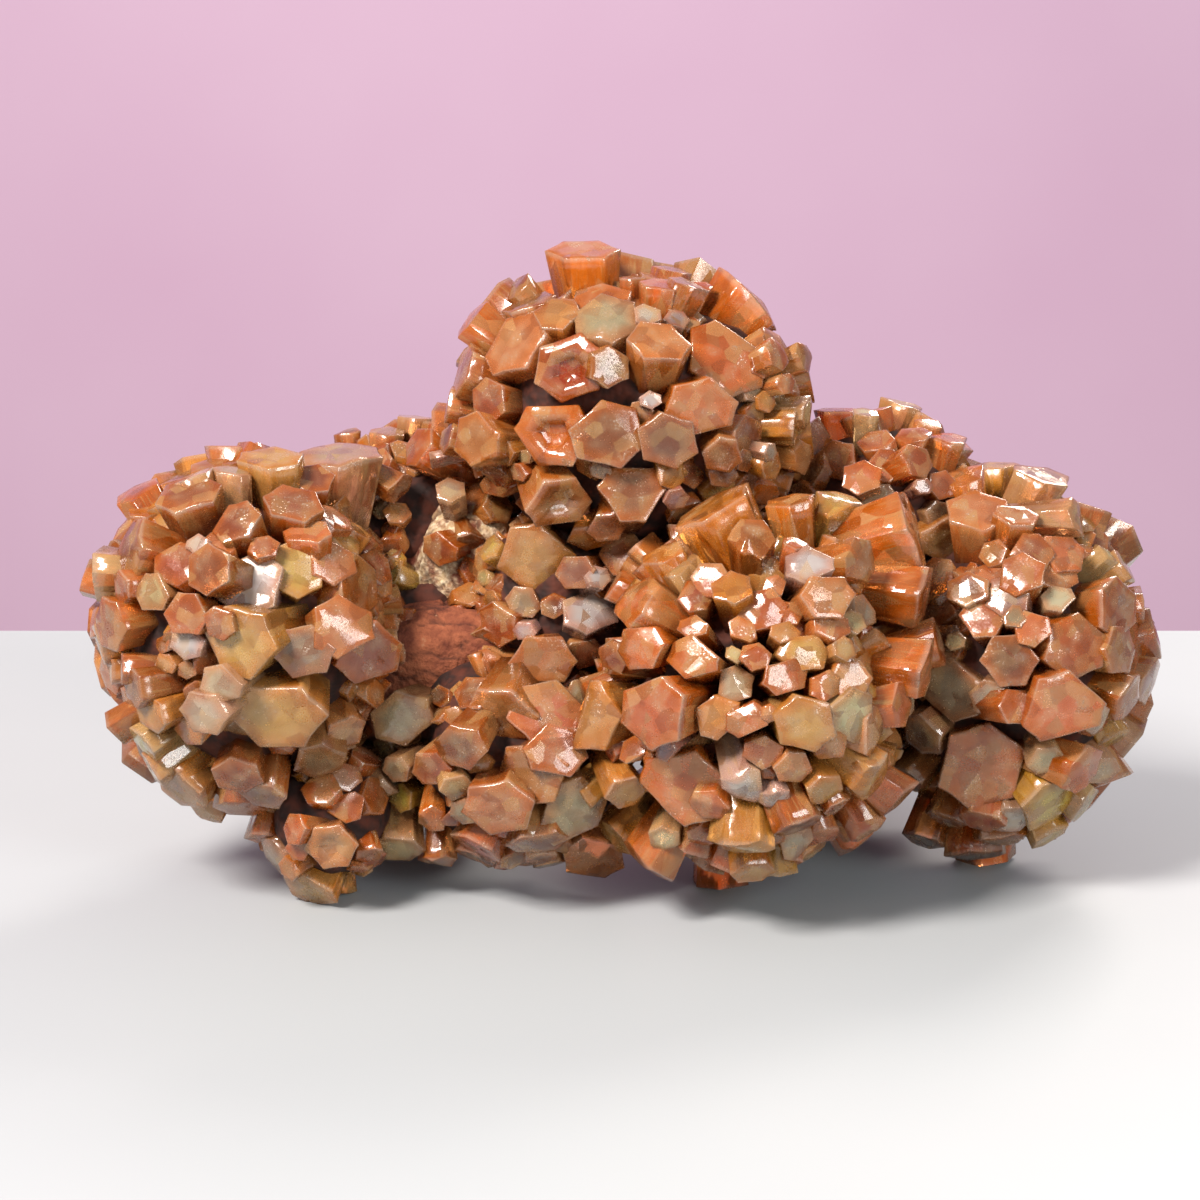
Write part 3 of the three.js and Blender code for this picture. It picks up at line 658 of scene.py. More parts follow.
def chip_depth(plane, crystals):
    """How deep chips have taken the end at each point: the deepest of a few planes, each of which
    starts some way from the middle and slopes down outwards."""
    count = len(crystals["end"])
    across = crystals["across"][:, None, None]
    turn = draw.uniform(0, 2 * np.pi, (count, CHIPS))
    start = draw.uniform(*CHIP_STARTS, (count, CHIPS))
    steepness = draw.uniform(*CHIP_STEEPNESS, (count, CHIPS)) * crystals["chipped"][:, None]
    depth = np.zeros(plane.shape[:3])
    for chip in range(CHIPS):
        toward = np.stack([np.cos(turn[:, chip]), np.sin(turn[:, chip])], axis=1)
        beyond = (plane * toward[:, None, None]).sum(3) - start[:, chip, None, None] * across
        depth = np.maximum(depth, beyond * steepness[:, chip, None, None])
    return depth


print(CHIPS, "chips on an end")

# %% [markdown]
# Rings of the outline make the crystal. The rings of a large crystal's end lie on three levels, so a
# hollow end comes out as terraces, the way stepped growth leaves it. The last ring before the sides is
# a narrow chamfer, which catches the light along the rim. Both ends close in a single point. Large
# crystals have the most rings; the small ones, of which there are many, have the fewest.

# %% Crystal rings
ROOT_SHARE = 0.66
CHAMFER = 0.01
TERRACES = 3.2
DEEPEST_TERRACE = 2
LARGE_RINGS = {
    "end": (0.36, 0.42, 0.70, 0.76, 0.95), "side": (0.0, 0.16, 0.42, 1.0), "side_points": 4,
}
MEDIUM_RINGS = {"end": (0.5, 0.93), "side": (0.0, 1.0), "side_points": 2}
SMALL_RINGS = {"end": (0.92,), "side": (0.0, 1.0), "side_points": 2}


def crystal_points(crystals, end, side, side_points):
    """Points of many crystals, ring by ring: the outline times a ring's share, at a ring's depth under
    the end, then set along the crystal's own axes. Returns the points with the two poles last, their
    places in the crystal itself, and how near the rim they are."""
    count = len(crystals["end"])
    across = crystals["across"][:, None]
    end_shares = np.array(end)
    side_shares = np.array(side)
    terrace = np.floor(TERRACES * (1 - end_shares)) / DEEPEST_TERRACE
    end_depth = crystals["hollow"][:, None] * across * terrace
    side_depth = CHAMFER * across + (crystals["length"][:, None] - CHAMFER * across) * side_shares
    taper = 1 - (1 - ROOT_SHARE) * side_shares
    share = np.concatenate([end_shares, taper])
    depth = np.concatenate([end_depth, side_depth], axis=1)
    outline = crystal_outlines(crystals, side_points)
    plane = outline[:, None] * share[:, None, None]
    slope = (plane * crystals["slope"][:, None, None]).sum(3)
    on_end = (np.arange(len(share)) <= len(end_shares))[:, None]
    depth_grid = depth[..., None] + (slope + chip_depth(plane, crystals)) * on_end
    wide = unit(np.cross(upward, crystals["axis"]))
    narrow = np.cross(crystals["axis"], wide)
    rings = (
        crystals["end"][:, None, None]
        + plane[..., :1] * wide[:, None, None]
        + plane[..., 1:] * narrow[:, None, None]
        - depth_grid[..., None] * crystals["axis"][:, None, None]
    )
    tip = crystals["end"] - crystals["axis"] * end_depth[:, :1]
    root = crystals["end"] - crystals["axis"] * crystals["length"][:, None]
    points = np.concatenate([rings.reshape(count, -1, 3), tip[:, None], root[:, None]], axis=1)
    points[..., 2] = np.maximum(points[..., 2], 0)
    poles = np.zeros((count, 2, 3))
    poles[:, 0, 2] = end_depth[:, 0]
    poles[:, 1, 2] = crystals["length"]
    in_rings = np.concatenate([plane.reshape(count, -1, 2), depth_grid.reshape(count, -1, 1)], axis=2)
    ring_edges = np.concatenate([end_shares, np.ones(len(side_shares))])
    edges = np.concatenate([np.repeat(ring_edges, outline.shape[1]), [0.0, 1.0]])
    return points, np.concatenate([in_rings, poles], axis=1), np.tile(edges, (count, 1))


def ring_faces(ring_count, columns):
    """Faces of one closed shape of rings: quads between neighbouring rings, and a fan at each pole."""
    index = np.arange(ring_count * columns).reshape(ring_count, columns)
    turned = np.roll(index, -1, axis=1)
    quads = np.stack([index[:-1], index[1:], turned[1:], turned[:-1]], axis=2).reshape(-1, 4)
    first_pole = np.full(columns, ring_count * columns)
    top = np.stack([first_pole, index[0], turned[0]], axis=1)
    bottom = np.stack([first_pole + 1, turned[-1], index[-1]], axis=1)
    return quads, np.concatenate([top, bottom])


print("faces on a small crystal:", sum(len(faces) for faces in ring_faces(3, 12)))

# %% [markdown]
# ## From arrays to a mesh
# A mesh wants three flat lists: its points, the corners of its faces, and where each face starts.
# Filling them with foreach_set is quick even for a hundred thousand faces. Values that the materials
# need, such as a crystal's tint and its own coordinates, go along as attributes of the points.

# %% Mesh maker
ATTRIBUTE_KINDS = {1: ("FLOAT", "value"), 3: ("FLOAT_VECTOR", "vector"), 4: ("FLOAT_COLOR", "color")}


def make_piece(name, points, quads, triangles, attributes, material):
    """A mesh object at the origin from points and faces, with its attributes and one material."""
    mesh = bpy.data.meshes.new(name)
    mesh.vertices.add(len(points))
    mesh.vertices.foreach_set("co", points.astype(np.float32).ravel())
    corners = np.concatenate([quads.ravel(), triangles.ravel()])
    mesh.loops.add(len(corners))
    mesh.loops.foreach_set("vertex_index", corners.astype(np.int32))
    sizes = np.concatenate([np.full(len(quads), 4), np.full(len(triangles), 3)])
    mesh.polygons.add(len(sizes))
    mesh.polygons.foreach_set("loop_start", (np.cumsum(sizes) - sizes).astype(np.int32))
    mesh.update(calc_edges=True)
    for key, values in attributes.items():
        kind, field = ATTRIBUTE_KINDS[values.shape[1]]
        attribute = mesh.attributes.new(key, kind, "POINT")
        attribute.data.foreach_set(field, values.astype(np.float32).ravel())
    mesh.materials.append(material)
    mesh.validate()
    piece = bpy.data.objects.new(name, mesh)
    bpy.context.scene.collection.objects.link(piece)
    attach(piece, "root")
    return piece


def many_faces(faces, shapes, points_per_shape):
    """The faces of one shape repeated for many shapes, each on its own run of points."""
    starts = np.arange(shapes)[:, None, None] * points_per_shape
    return (faces[None] + starts).reshape(-1, faces.shape[1])


def added(meshes):
    """Several meshes' points, faces and attributes as one."""
    sizes = [len(mesh[0]) for mesh in meshes]
    starts = np.cumsum(sizes) - sizes
    points = np.concatenate([mesh[0] for mesh in meshes])
    quads = np.concatenate([mesh[1] + start for mesh, start in zip(meshes, starts)])
    triangles = np.concatenate([mesh[2] + start for mesh, start in zip(meshes, starts)])
    attributes = {key: np.concatenate([mesh[3][key] for mesh in meshes]) for key in meshes[0][3]}
    return points, quads, triangles, attributes


print(len(ATTRIBUTE_KINDS), "kinds of attribute")

# %% [markdown]
# Each crystal's material needs to know where on the crystal it is: its tint, its own coordinates for
# the grain, how far it is along the crystal, and how near the rim. A seed shifts the grain, so that no
# two crystals show the same clouds.

# %% Crystal meshes
# The painted shade towards the root is measured in widths below the end.
ROOTED_AFTER_WIDTHS = 1.5
GRAIN_SHIFTS = np.array([37.0, 61.0, 89.0])


def crystal_mesh(crystals, rings):
    """Points, faces and attributes of a set of crystals: tint, grain coordinates in millimetres, how far
    along the crystal a point is, from 0 at its end to 1 in the depth of the cluster, and how near the
    rim, from 0 in the middle of the end to 1."""
    points, local, edges = crystal_points(crystals, **rings)
    shapes, per_shape, _ = points.shape
    quads, triangles = ring_faces(len(rings["end"]) + len(rings["side"]), SIDES * rings["side_points"])
    tone = crystals["colour"][:, None] * np.ones((1, per_shape, 1))
    along = local[..., 2:] / (ROOTED_AFTER_WIDTHS * crystals["across"][:, None, None])
    grain = local / MM + crystals["seed"][:, None, None] * GRAIN_SHIFTS
    attributes = {
        "tint": np.concatenate([tone, np.ones((shapes, per_shape, 1))], axis=2).reshape(-1, 4),
        "grain": grain.reshape(-1, 3),
        "along": np.clip(along, 0, 1).reshape(-1, 1),
        "edge": edges.reshape(-1, 1),
    }
    faces = many_faces(quads, shapes, per_shape), many_faces(triangles, shapes, per_shape)
    return points.reshape(-1, 3), *faces, attributes


print("the root's colour is full", ROOTED_AFTER_WIDTHS, "widths below the end")

# %% [markdown]
# ## Wear
# No end is square to its crystal, and none is whole. Each crystal gets a slope of its end, chips and a
# tone of its own. The front lobe is the most broken, and its tint is brightened as painted highlight,
# standing in for the glints of its crystals.

# %% Worn crystals
BRIGHTER_TONE = 0.06
TONE_SPREAD = 0.28
HUE_SPREAD = 0.06
FRONT_CHIPS = 2.2
FRONT_PAINTED_BRIGHTNESS = 1.18
PALEST = 0.95


def with_wear(crystals, slope, chips):
    """The crystals with a slope of the end, chips and a seed of their own, and their tint shifted a
    little, all three colours together and then each alone. The front lobe's tint is brightened as
    painted highlight."""
    count = len(crystals["end"])
    tone = draw.normal(BRIGHTER_TONE, TONE_SPREAD, (count, 1))
    shift = np.exp(tone + draw.normal(0, HUE_SPREAD, (count, 3)))
    in_front = crystals["ball"] == ball_names.index("front")
    # The front lobe's crystals are brightened: painted highlight for their glints.
    shift = shift * np.where(in_front, FRONT_PAINTED_BRIGHTNESS, 1.0)[:, None]
    return {
        **crystals,
        "slope": draw.normal(0, slope, (count, 2)),
        "chipped": draw.uniform(0, chips, count) * np.where(in_front, FRONT_CHIPS, 1.0),
        "seed": draw.uniform(0, 1, count),
        "colour": np.clip(crystals["colour"] * shift, 0, PALEST),
    }


crystal_sets = (
    (with_wear(joined([seen, standing]), slope=0.07, chips=0.5), LARGE_RINGS),
    (with_wear(joined([hidden, medium]), slope=0.12, chips=0.5), MEDIUM_RINGS),
    (with_wear(small, slope=0.25, chips=0.6), SMALL_RINGS),
)
print([len(crystals["end"]) for crystals, _ in crystal_sets], "large, medium and small crystals")

# %% [markdown]
# ## Shader maths in plain expressions
# Node trees are easier to read as formulas. A wire stands for one output socket; adding or
# multiplying wires adds the Math nodes.

# %% Wires
class Wire:
    """An output socket that carries a number, with Python's operators as Math nodes."""

    def __init__(self, graph, socket):
        self.graph = graph
        self.socket = socket

    def maths(self, operation, first, second):
        """A Math node of an operation on two values."""
        return self.graph.node("Math", {"operation": operation}, {0: first, 1: second})

    def __add__(self, other):
        return self.maths("ADD", self, other)

    def __radd__(self, other):
        return self.maths("ADD", other, self)

    def __sub__(self, other):
        return self.maths("SUBTRACT", self, other)

    def __rsub__(self, other):
        return self.maths("SUBTRACT", other, self)

    def __mul__(self, other):
        return self.maths("MULTIPLY", self, other)

    def __rmul__(self, other):
        return self.maths("MULTIPLY", other, self)

    def step(self, low, high):
        """0 below `low`, 1 above `high`, and a soft ramp between."""
        settings = {"interpolation_type": "SMOOTHSTEP"}
        return self.graph.node("MapRange", settings, {"Value": self, "From Min": low, "From Max": high})


print("a wire adds, subtracts, multiplies and steps")

# %% [markdown]
# Every other node comes from one method, which takes the node's type, its settings and its inputs. The
# rest are short names for the nodes that the finishes use: colours blended, clouds of noise, and cells
# that tilt the surface, as the inner planes of a crystal do.

# %% Graph of one material
class Graph:
    """The node tree of one new material, with its shader as `surface`."""

    def __init__(self, name):
        self.material = bpy.data.materials.new(name)
        self.material.use_nodes = True
        self.tree = self.material.node_tree
        self.surface = self.tree.nodes["Principled BSDF"]

    def node(self, kind, settings, inputs, output=0):
        """A node of a type, with its settings made first and then its inputs, as a wire from one output."""
        made = self.tree.nodes.new("ShaderNode" + kind)
        for key, value in settings.items():
            setattr(made, key, value)
        for key, value in inputs.items():
            self.connect(made.inputs[key], value)
        return Wire(self, made.outputs[output])

    def connect(self, socket, value):
        """Links a wire to a socket, or sets a plain value on it."""
        if isinstance(value, Wire):
            self.tree.links.new(value.socket, socket)
        else:
            socket.default_value = value

    def finish(self, inputs):
        """Feeds the shader and gives the material."""
        for key, value in inputs.items():
            self.connect(self.surface.inputs[key], value)
        return self.material

    def attribute(self, name, output="Fac"):
        """A value that the mesh's points carry."""
        return self.node("Attribute", {"attribute_name": name}, {}, output)

    def place(self):
        """Object coordinates, in metres."""
        return self.node("TexCoord", {}, {}, "Object")

    def mix(self, share, first, second):
        """Two colours blended by a share from 0 to 1."""
        settings = {"data_type": "RGBA", "blend_type": "MIX"}
        return self.node("Mix", settings, {0: share, 6: first, 7: second}, 2)

    def vectors(self, operation, first, second):
        """A Vector Math node of an operation on two vectors."""
        return self.node("VectorMath", {"operation": operation}, {0: first, 1: second})

    def noise(self, vector, scale, detail, roughness=0.55):
        """Soft clouds from 0 to 1, so many to a unit of the coordinates."""
        inputs = {"Vector": vector, "Scale": scale, "Detail": detail, "Roughness": roughness}
        return self.node("TexNoise", {}, inputs)

    def bump(self, height, strength, distance):
        """The surface's normal, leaning as if the surface had a height."""
        return self.node("Bump", {}, {"Strength": strength, "Distance": distance, "Height": height})

    def cells(self, vector, scale):
        """A random colour for each cell of a cracked pattern."""
        return self.node("TexVoronoi", {}, {"Vector": vector, "Scale": scale}, "Color")

    def part(self, vector, index):
        """One of the three numbers of a vector or colour."""
        return self.node("SeparateXYZ", {}, {0: vector}, index)

    def facets(self, cells, strength):
        """The surface's normal, tilted at random from cell to cell by a strength."""
        centred = self.vectors("SUBTRACT", cells, (0.5, 0.5, 0.5))
        tilt = self.node("VectorMath", {"operation": "SCALE"}, {0: centred, "Scale": strength})
        normal = self.node("NewGeometry", {}, {}, "Normal")
        return self.node("VectorMath", {"operation": "NORMALIZE"}, {0: self.vectors("ADD", normal, tilt)})


def rgba(code):
    """A colour code as the four scene-linear numbers that a colour socket takes."""
    return (*linear_colour(code), 1.0)


print("white is", rgba("ffffff"))

# %% [markdown]
# ## Aragonite
# The real crystals are frosted glass: light goes in, wanders, and comes out amber. Their sides carry
# fine streaks along the axis, iron colours them in clouds, and their ends are hazy with a sugary crust.
# Plain transmission gives the inner glow. Light and shade are painted on as well: an orange glow round
# the rim and down the upper sides, a pale highlight along the rim of the end, shade deeper towards the
# root, and paler cells where inner planes shine through, partly their own tone and partly a painted
# shine. All the rest is noise and cells on the crystal's own grain coordinates, so it follows every
# crystal, and it is laid over the tint layer by layer.

# %% Aragonite material
ARAGONITE_IOR = 1.6
STREAKS_PER_MM = 4.2
CLOUDS_PER_MM = 0.4
CRUST_PER_MM = 3.6
PLANES_PER_MM = 0.55
STREAK_STRETCH = (1.0, 1.0, 0.05)
PLANE_STRETCH = (1.0, 1.0, 0.35)
CRUST_ROUGHNESS = 0.14
PLANE_ROUGHNESS = 0.14
PLANE_TILT = 0.16
SUGAR_TILT = 0.7
SIDE_TILT = 0.08


def aragonite(name, transmission, gloss):
    """Translucent crystal: its tint under layers of colour, each with the share that covers it."""
    graph = Graph(name)
    grain = graph.attribute("grain", "Vector")
    along = graph.attribute("along")
    edge = graph.attribute("edge")
    drawn_out = graph.vectors("MULTIPLY", grain, STREAK_STRETCH)
    streaks = graph.noise(drawn_out, STREAKS_PER_MM, detail=1.0)
    cloud = graph.noise(grain, CLOUDS_PER_MM, detail=1.0)
    crust = graph.noise(grain, CRUST_PER_MM, detail=1.0, roughness=0.7)
    planes = graph.cells(graph.vectors("MULTIPLY", grain, PLANE_STRETCH), PLANES_PER_MM)
    on_end = 1 - along.step(0.02, 0.07)
    # Painted shade, growing from the end towards the root, deep among the other crystals.
    root_shade = along.step(0.12, 0.9)
    # A painted highlight along the rim of the end.
    rim = edge.step(0.93, 0.99) * (1 - along.step(0.01, 0.05))
    sugary = crust.step(0.55, 0.72) * cloud.step(0.5, 0.62) * on_end
    layers = {
        "haze on the end": (on_end * (0.12 + cloud.step(0.3, 0.8) * 0.24), "ffd0a4"),
        # Painted glow of light through the crystal, round the rim and down its upper sides.
        "painted glow round the rim": (edge.step(0.4, 0.95) * (1 - root_shade) * 0.5, "ff8826"),
        "painted shade at the root": (root_shade * 0.8, "9c440e"),
        "pale streaks": (streaks.step(0.5, 0.8) * (1 - on_end) * 0.5, "fccc84"),
        "dark streaks": ((1 - streaks).step(0.55, 0.8) * (1 - on_end) * 0.3, "8c3a0c"),
        "pale clouds": (cloud.step(0.42, 0.75) * (1 - root_shade) * 0.25, "f8c88a"),
        "dark clouds": ((1 - cloud).step(0.45, 0.75) * 0.3, "b45c14"),
        # Paler cells: partly the inner planes' own tone, partly a painted shine.
        "pale planes and painted shine": (graph.part(planes, 0).step(0.5, 1.0) * 0.45, "ffcc84"),
        "dark planes": (graph.part(planes, 1).step(0.5, 1.0) * 0.4, "a04c12"),
        # Sugar is the end's real white crust; the rim share is painted highlight.
        "sugar and painted rim highlight": (sugary * 0.5 + rim * 0.3, "fcecd6"),
    }
    body = graph.attribute("tint", "Color")
    for share, code in layers.values():
        body = graph.mix(share, body, rgba(code))
    roughness = gloss + crust.step(0.3, 0.8) * CRUST_ROUGHNESS + graph.part(planes, 2) * PLANE_ROUGHNESS
    tilt = PLANE_TILT + sugary * SUGAR_TILT + (1 - on_end) * SIDE_TILT
    return graph.finish({
        "Base Color": body,
        "Roughness": roughness,
        "Normal": graph.facets(planes, tilt),
        "IOR": ARAGONITE_IOR,
        "Transmission Weight": transmission,
    })


frosted = aragonite("aragonite_frosted", transmission=0.69, gloss=0.06)
glassy = aragonite("aragonite_clear", transmission=0.7, gloss=0.03)
print("materials", frosted.name, glassy.name)

# %% [markdown]
# ## Crystals as pieces
# The whole cluster is one growth, but a single mesh of every crystal would be heavy and would get too
# little room when its finish is baked. The frosted crystals are shared out among a few neighbourhoods
# of balls instead, and the few clear ones, which have their own glass, are one piece.

# %% Crystal pieces
NEIGHBOURHOODS = {
    "left": ("left", "foot"),
    "low": ("low", "heart", "hollow"),
    "top": ("top", "saddle"),
    "front": ("front", "middle"),
    "right": ("right", "shoulder"),
    "back": ("back_left", "back_right"),
}


def crystal_piece(name, members, clear, material):
    """The crystals of some balls, large and small, that are clear or that are not."""
    balls = [ball_names.index(member) for member in members]

    def chosen(crystals):
        """The crystals of a set that belong to the piece."""
        return picked(crystals, np.isin(crystals["ball"], balls) & (crystals["clear"] == clear))

    meshes = [crystal_mesh(chosen(crystals), rings) for crystals, rings in crystal_sets]
    piece = make_piece(name, *added(meshes), material)
    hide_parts("crystal_cluster")
    print(name, len(piece.data.polygons), "faces")


for place, members in NEIGHBOURHOODS.items():
    crystal_piece("crystals_" + place, members, clear=False, material=frosted)
crystal_piece("clear_crystals", ball_names, clear=True, material=glassy)

# %% [markdown]
# ## The bed between the crystals
# Between the crystals one looks into dark depths, not through the cluster. A bed of lumpy balls,
# smaller than the ones that the crystals end on, closes every gap. Its deep rust red is darkened almost
# to black as painted shade of those depths. In the front lobe and in the hollow it lies deeper, because
# the crystals there stand further apart.

# %% Lumpy balls
WAVE_STARTS = np.array([1.0, 2.0, 3.0])


def lumpy_balls(centres, radii, ring_count, columns, height_of):
    """Closed balls of rings: polar angle by ring and turn by column, with the radius scaled by a height
    that depends on the direction. Returns points, faces and each point's direction."""
    polar = np.pi * (np.arange(ring_count) + 1) / (ring_count + 1)
    turn = 2 * np.pi * np.arange(columns) / columns
    polar_grid, turn_grid = np.meshgrid(polar, turn, indexing="ij")
    wide = np.sin(polar_grid) * np.cos(turn_grid)
    deep = np.sin(polar_grid) * np.sin(turn_grid)
    direction = np.stack([wide, deep, np.cos(polar_grid)], axis=2).reshape(-1, 3)
    direction = np.concatenate([direction, [[0, 0, 1.0], [0, 0, -1.0]]])
    points = centres[:, None] + direction * radii[:, None] * height_of(direction)[:, None]
    faces = [many_faces(one, len(centres), len(direction)) for one in ring_faces(ring_count, columns)]
    return points.reshape(-1, 3), *faces, direction


print("waves start at", WAVE_STARTS)

# %% Bed
BED_SHARE = 0.78
FRONT_BED_SHARE = 0.85
HOLLOW_BED_SHARE = 0.75
BED_LUMPS = 0.03
BED_WAVES = 9
BED_RINGS = 15
BED_COLUMNS = 30
BED_CLEARANCE = 0.8 * MM
BED_MOTTLE_PER_METRE = 420.0


def bed_height(direction):
    """A few crossed waves."""
    return 1 + BED_LUMPS * np.sin(BED_WAVES * direction + WAVE_STARTS).sum(1)


bed_graph = Graph("dark_bed_painted_shade")
bed_mottle = bed_graph.noise(bed_graph.place(), BED_MOTTLE_PER_METRE, detail=2.0)
bed_shade_finish = bed_graph.finish({
    # Near-black rust red: painted shade of the depths between the crystals.
    "Base Color": bed_graph.mix(bed_mottle.step(0.35, 0.7), rgba("1c0904"), rgba("4a1e0c")),
    "Roughness": 0.85,
    "Normal": bed_graph.bump(bed_mottle, strength=0.8, distance=1 * MM),
})
bed_radii = ball_radii * BED_SHARE
bed_radii[ball_names.index("front")] *= FRONT_BED_SHARE
bed_radii[ball_names.index("hollow")] *= HOLLOW_BED_SHARE
bed_points, *bed_faces, _ = lumpy_balls(ball_centres, bed_radii, BED_RINGS, BED_COLUMNS, bed_height)
bed_points[:, 2] = np.maximum(bed_points[:, 2], BED_CLEARANCE)
bed = make_piece("crystal_bed", bed_points, *bed_faces, {}, bed_shade_finish)
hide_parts("crystal_cluster")
print("bed", len(bed.data.polygons), "faces")

# %% [markdown]
# ## Cracked clay
# The hollow on the left holds dried red-brown clay with a sandy ridge above it. Drying mud cracks into
# cells, so each point looks for its nearest and its second nearest cell centre: where the two are
# almost equally far, a crack runs, and the surface drops. The grid is fine enough to carry the cracks
# as real shape.

# %% Clay shape
CLAY_LUMPS = {
    "cracked": ((440, 672), 1, (16, 8.6, 10)),
    "ridge": ((458, 588), 7, (9, 7, 13)),
}
CLAY_RINGS = 100
CLAY_COLUMNS = 180
CLAY_CELLS = 80
CRACK_WIDTH = 0.045
CRACK_DEPTH = 0.03
WAVE_DEPTHS = {3.0: 0.07, 7.0: 0.03, 17.0: 0.008, 41.0: 0.004}
WAVE_BEND = 1.2
WAVE_TURN = np.array([[0.8, -0.6, 0.0], [0.36, 0.48, -0.8], [0.48, 0.64, 0.6]])
cell_centres = unit(draw.normal(0, 1, (CLAY_CELLS, 3)))


def crack_share(direction):
    """1 in a crack and 0 inside a cell, by how nearly equal the two nearest cell centres are, with the
    directions bent by a slow and a quick wave so that no crack is straight."""
    slow_bend = 0.05 * np.sin(19 * direction[:, [1, 2, 0]])
    quick_bend = 0.02 * np.sin(53 * direction[:, [2, 0, 1]])
    bent = direction + slow_bend + quick_bend
    distance = np.sort(np.linalg.norm(bent[:, None] - cell_centres, axis=2), axis=1)
    return np.clip(1 - (distance[:, 1] - distance[:, 0]) / CRACK_WIDTH, 0, 1)


def clay_height(direction):
    """Bent waves of four sizes, each turned from the last, less the cracks."""
    height = np.ones(len(direction))
    turned = direction
    for waves, depth in WAVE_DEPTHS.items():
        turned = turned @ WAVE_TURN
        bent = turned + np.sin(waves * turned[:, [1, 2, 0]]) * WAVE_BEND / waves
        height = height + depth * np.sin(waves * bent + WAVE_STARTS).sum(1)
    return height - CRACK_DEPTH * crack_share(direction)


clay_points, *clay_faces, clay_direction = lumpy_balls(
    *placed_balls(CLAY_LUMPS), CLAY_RINGS, CLAY_COLUMNS, clay_height
)
clay_cracks = np.tile(crack_share(clay_direction), len(CLAY_LUMPS))
clay_sand = np.repeat(np.arange(len(CLAY_LUMPS)), len(clay_direction))
clay_attributes = {"crack": clay_cracks[:, None], "sand": clay_sand[:, None]}
print("clay", len(clay_points), "points, of which", int((clay_cracks > 0).sum()), "lie in cracks")

# %% [markdown]
# The finish is red-brown clay with sand on it: the ridge is mostly sand, and elsewhere sand lies where
# the mottle is high. The cracks are darker, as painted shade. Fine grains roughen all of it.

# %% Clay finish
CLAY_MOTTLE_PER_METRE = 300.0
GRAINS_PER_METRE = 1500.0

clay_graph = Graph("cracked_clay")
clay_place = clay_graph.place()
clay_mottle = clay_graph.noise(clay_place, CLAY_MOTTLE_PER_METRE, detail=6.0, roughness=0.65)
clay_grains = clay_graph.noise(clay_place, GRAINS_PER_METRE, detail=3.0)
clay_colour = clay_graph.mix(clay_mottle.step(0.35, 0.7), rgba("5c2a18"), rgba("925436"))
sand_colour = clay_graph.mix(clay_grains.step(0.4, 0.65), rgba("a8936f"), rgba("d2c4a4"))
sand_share = (clay_graph.attribute("sand") * 0.34 + clay_mottle * 1.3 - 0.52).step(0.3, 0.6)
clay_colour = clay_graph.mix(sand_share, clay_colour, sand_colour)
# Painted shade in the cracks.
clay_colour = clay_graph.mix(clay_graph.attribute("crack") * 0.8, clay_colour, rgba("3a1a0e"))
clay_finish = clay_graph.finish({
    "Base Color": clay_colour,
    "Roughness": 0.93,
    "Normal": clay_graph.bump(clay_grains + clay_mottle, strength=0.7, distance=0.6 * MM),
})
clay = make_piece("cracked_clay", clay_points, *clay_faces, clay_attributes, clay_finish)
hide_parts("clay_matrix")
print("clay", len(clay.data.polygons), "faces")

# %% [markdown]
# ## Table and backdrop
# The specimen stands on a white table in front of a soft pink wall. Both are plain sheets.

# %% Stage
TABLE_REACH = 2.0
TABLE_EDGE = 143 * MM
WALL_REACH = 3.0
WALL_PLACE = 1.1
WALL_BOTTOM = -1.0
WALL_TOP = 2.0
TABLE_CORNERS = [
    (-TABLE_REACH, -TABLE_REACH, 0), (TABLE_REACH, -TABLE_REACH, 0),
    (TABLE_REACH, TABLE_EDGE, 0), (-TABLE_REACH, TABLE_EDGE, 0),
]
WALL_CORNERS = [
    (-WALL_REACH, WALL_PLACE, WALL_BOTTOM), (WALL_REACH, WALL_PLACE, WALL_BOTTOM),
    (WALL_REACH, WALL_PLACE, WALL_TOP), (-WALL_REACH, WALL_PLACE, WALL_TOP),
]
STAGE_CLOUDS_PER_METRE = 6.0
STAGE_CLOUDS = 0.12


def stage_sheet(name, corners, code, roughness):
    """A plain sheet between four corners, with a faint unevenness in its colour."""
    graph = Graph(name + "_finish")
    tone = graph.noise(graph.place(), STAGE_CLOUDS_PER_METRE, detail=3.0)
    colour = graph.mix(tone * STAGE_CLOUDS, rgba(code), rgba("ffffff"))
    mesh = bpy.data.meshes.new(name)
    mesh.from_pydata(corners, [], [(0, 1, 2, 3)])
    mesh.materials.append(graph.finish({"Base Color": colour, "Roughness": roughness}))
    sheet = bpy.data.objects.new(name, mesh)
    bpy.context.scene.collection.objects.link(sheet)
    return sheet


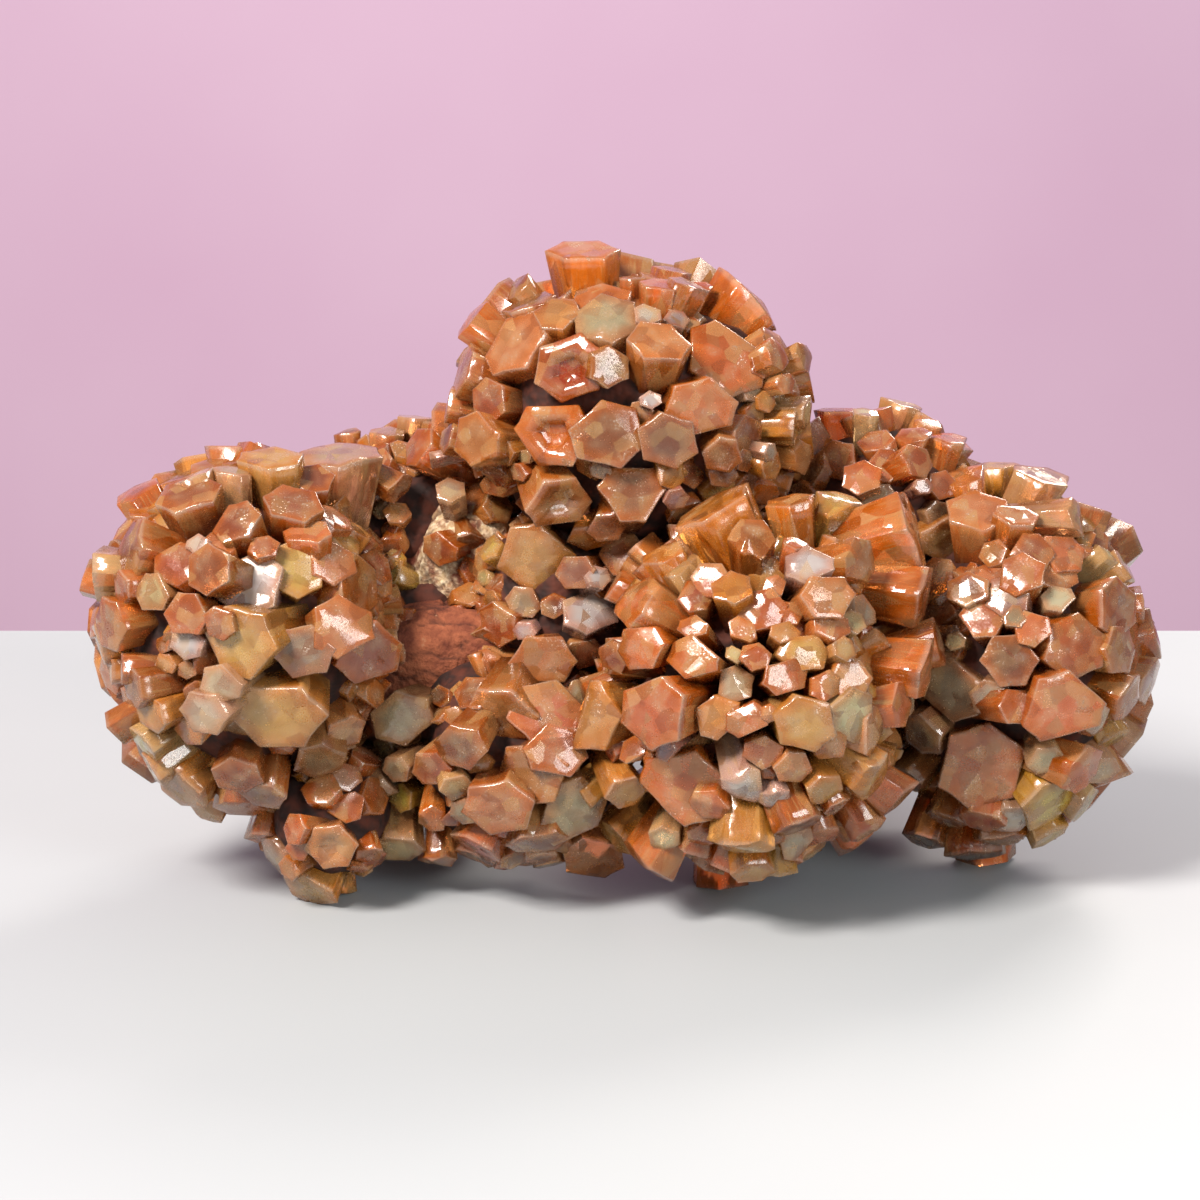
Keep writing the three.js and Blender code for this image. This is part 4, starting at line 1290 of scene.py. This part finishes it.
table = stage_sheet("table", TABLE_CORNERS, "9ca6aa", roughness=0.6)
wall = stage_sheet("wall", WALL_CORNERS, "c4a0ba", roughness=0.9)
print("stage", table.name, wall.name)

# %% [markdown]
# ## Light
# A soft light from the upper left makes the glints and the shade to the right, a weak one opens that
# shade, one from behind lets the far crystals glow, and one washes the wall. A pale surround fills the
# rest. Each light has a place, a target, a size in metres, a power in watts and a colour. Light in a
# heap of glass bounces without end, so the bounces are limited where more of them can hardly be seen.

# %% Lights
SPECIMEN = (0, 0, 0.03)
WALL_MIDDLE = (0, WALL_PLACE, 0.3)
LIGHTS = {
    "key": ((-0.40, -0.50, 0.62), SPECIMEN, 0.24, 15.5, "fff0e8"),
    "fill": ((0.42, -0.62, 0.30), SPECIMEN, 0.3, 3.2, "ffffff"),
    "rear": ((0.35, 0.62, 0.55), SPECIMEN, 0.3, 5.0, "fff4ea"),
    "wall_light": ((0.0, 0.45, 0.7), WALL_MIDDLE, 0.6, 5.0, "ffffff"),
}
SURROUND_COLOUR = "f4f0f2"
SURROUND_STRENGTH = 0.45
ALL_BOUNCES = 5
DIFFUSE_BOUNCES = 2


def soft_light(name, place, target, size, watts, code):
    """A square light of a size in metres that faces a target."""
    light = bpy.data.lights.new(name, "AREA")
    light.size = size
    light.energy = watts
    light.color = linear_colour(code)
    lamp = bpy.data.objects.new(name, light)
    lamp.matrix_world = facing(place, Vector(target) - Vector(place))
    bpy.context.scene.collection.objects.link(lamp)


for light_name, light_settings in LIGHTS.items():
    soft_light(light_name, *light_settings)
world = bpy.data.worlds.new("surround")
world.use_nodes = True
surround = world.node_tree.nodes["Background"]
surround.inputs["Color"].default_value = rgba(SURROUND_COLOUR)
surround.inputs["Strength"].default_value = SURROUND_STRENGTH
bpy.context.scene.world = world
bpy.context.scene.cycles.max_bounces = ALL_BOUNCES
bpy.context.scene.cycles.diffuse_bounces = DIFFUSE_BOUNCES
bpy.context.scene.cycles.caustics_reflective = False
bpy.context.scene.cycles.caustics_refractive = False
bpy.context.scene.view_settings.view_transform = "Standard"
print("lights", [item.name for item in bpy.data.lights])
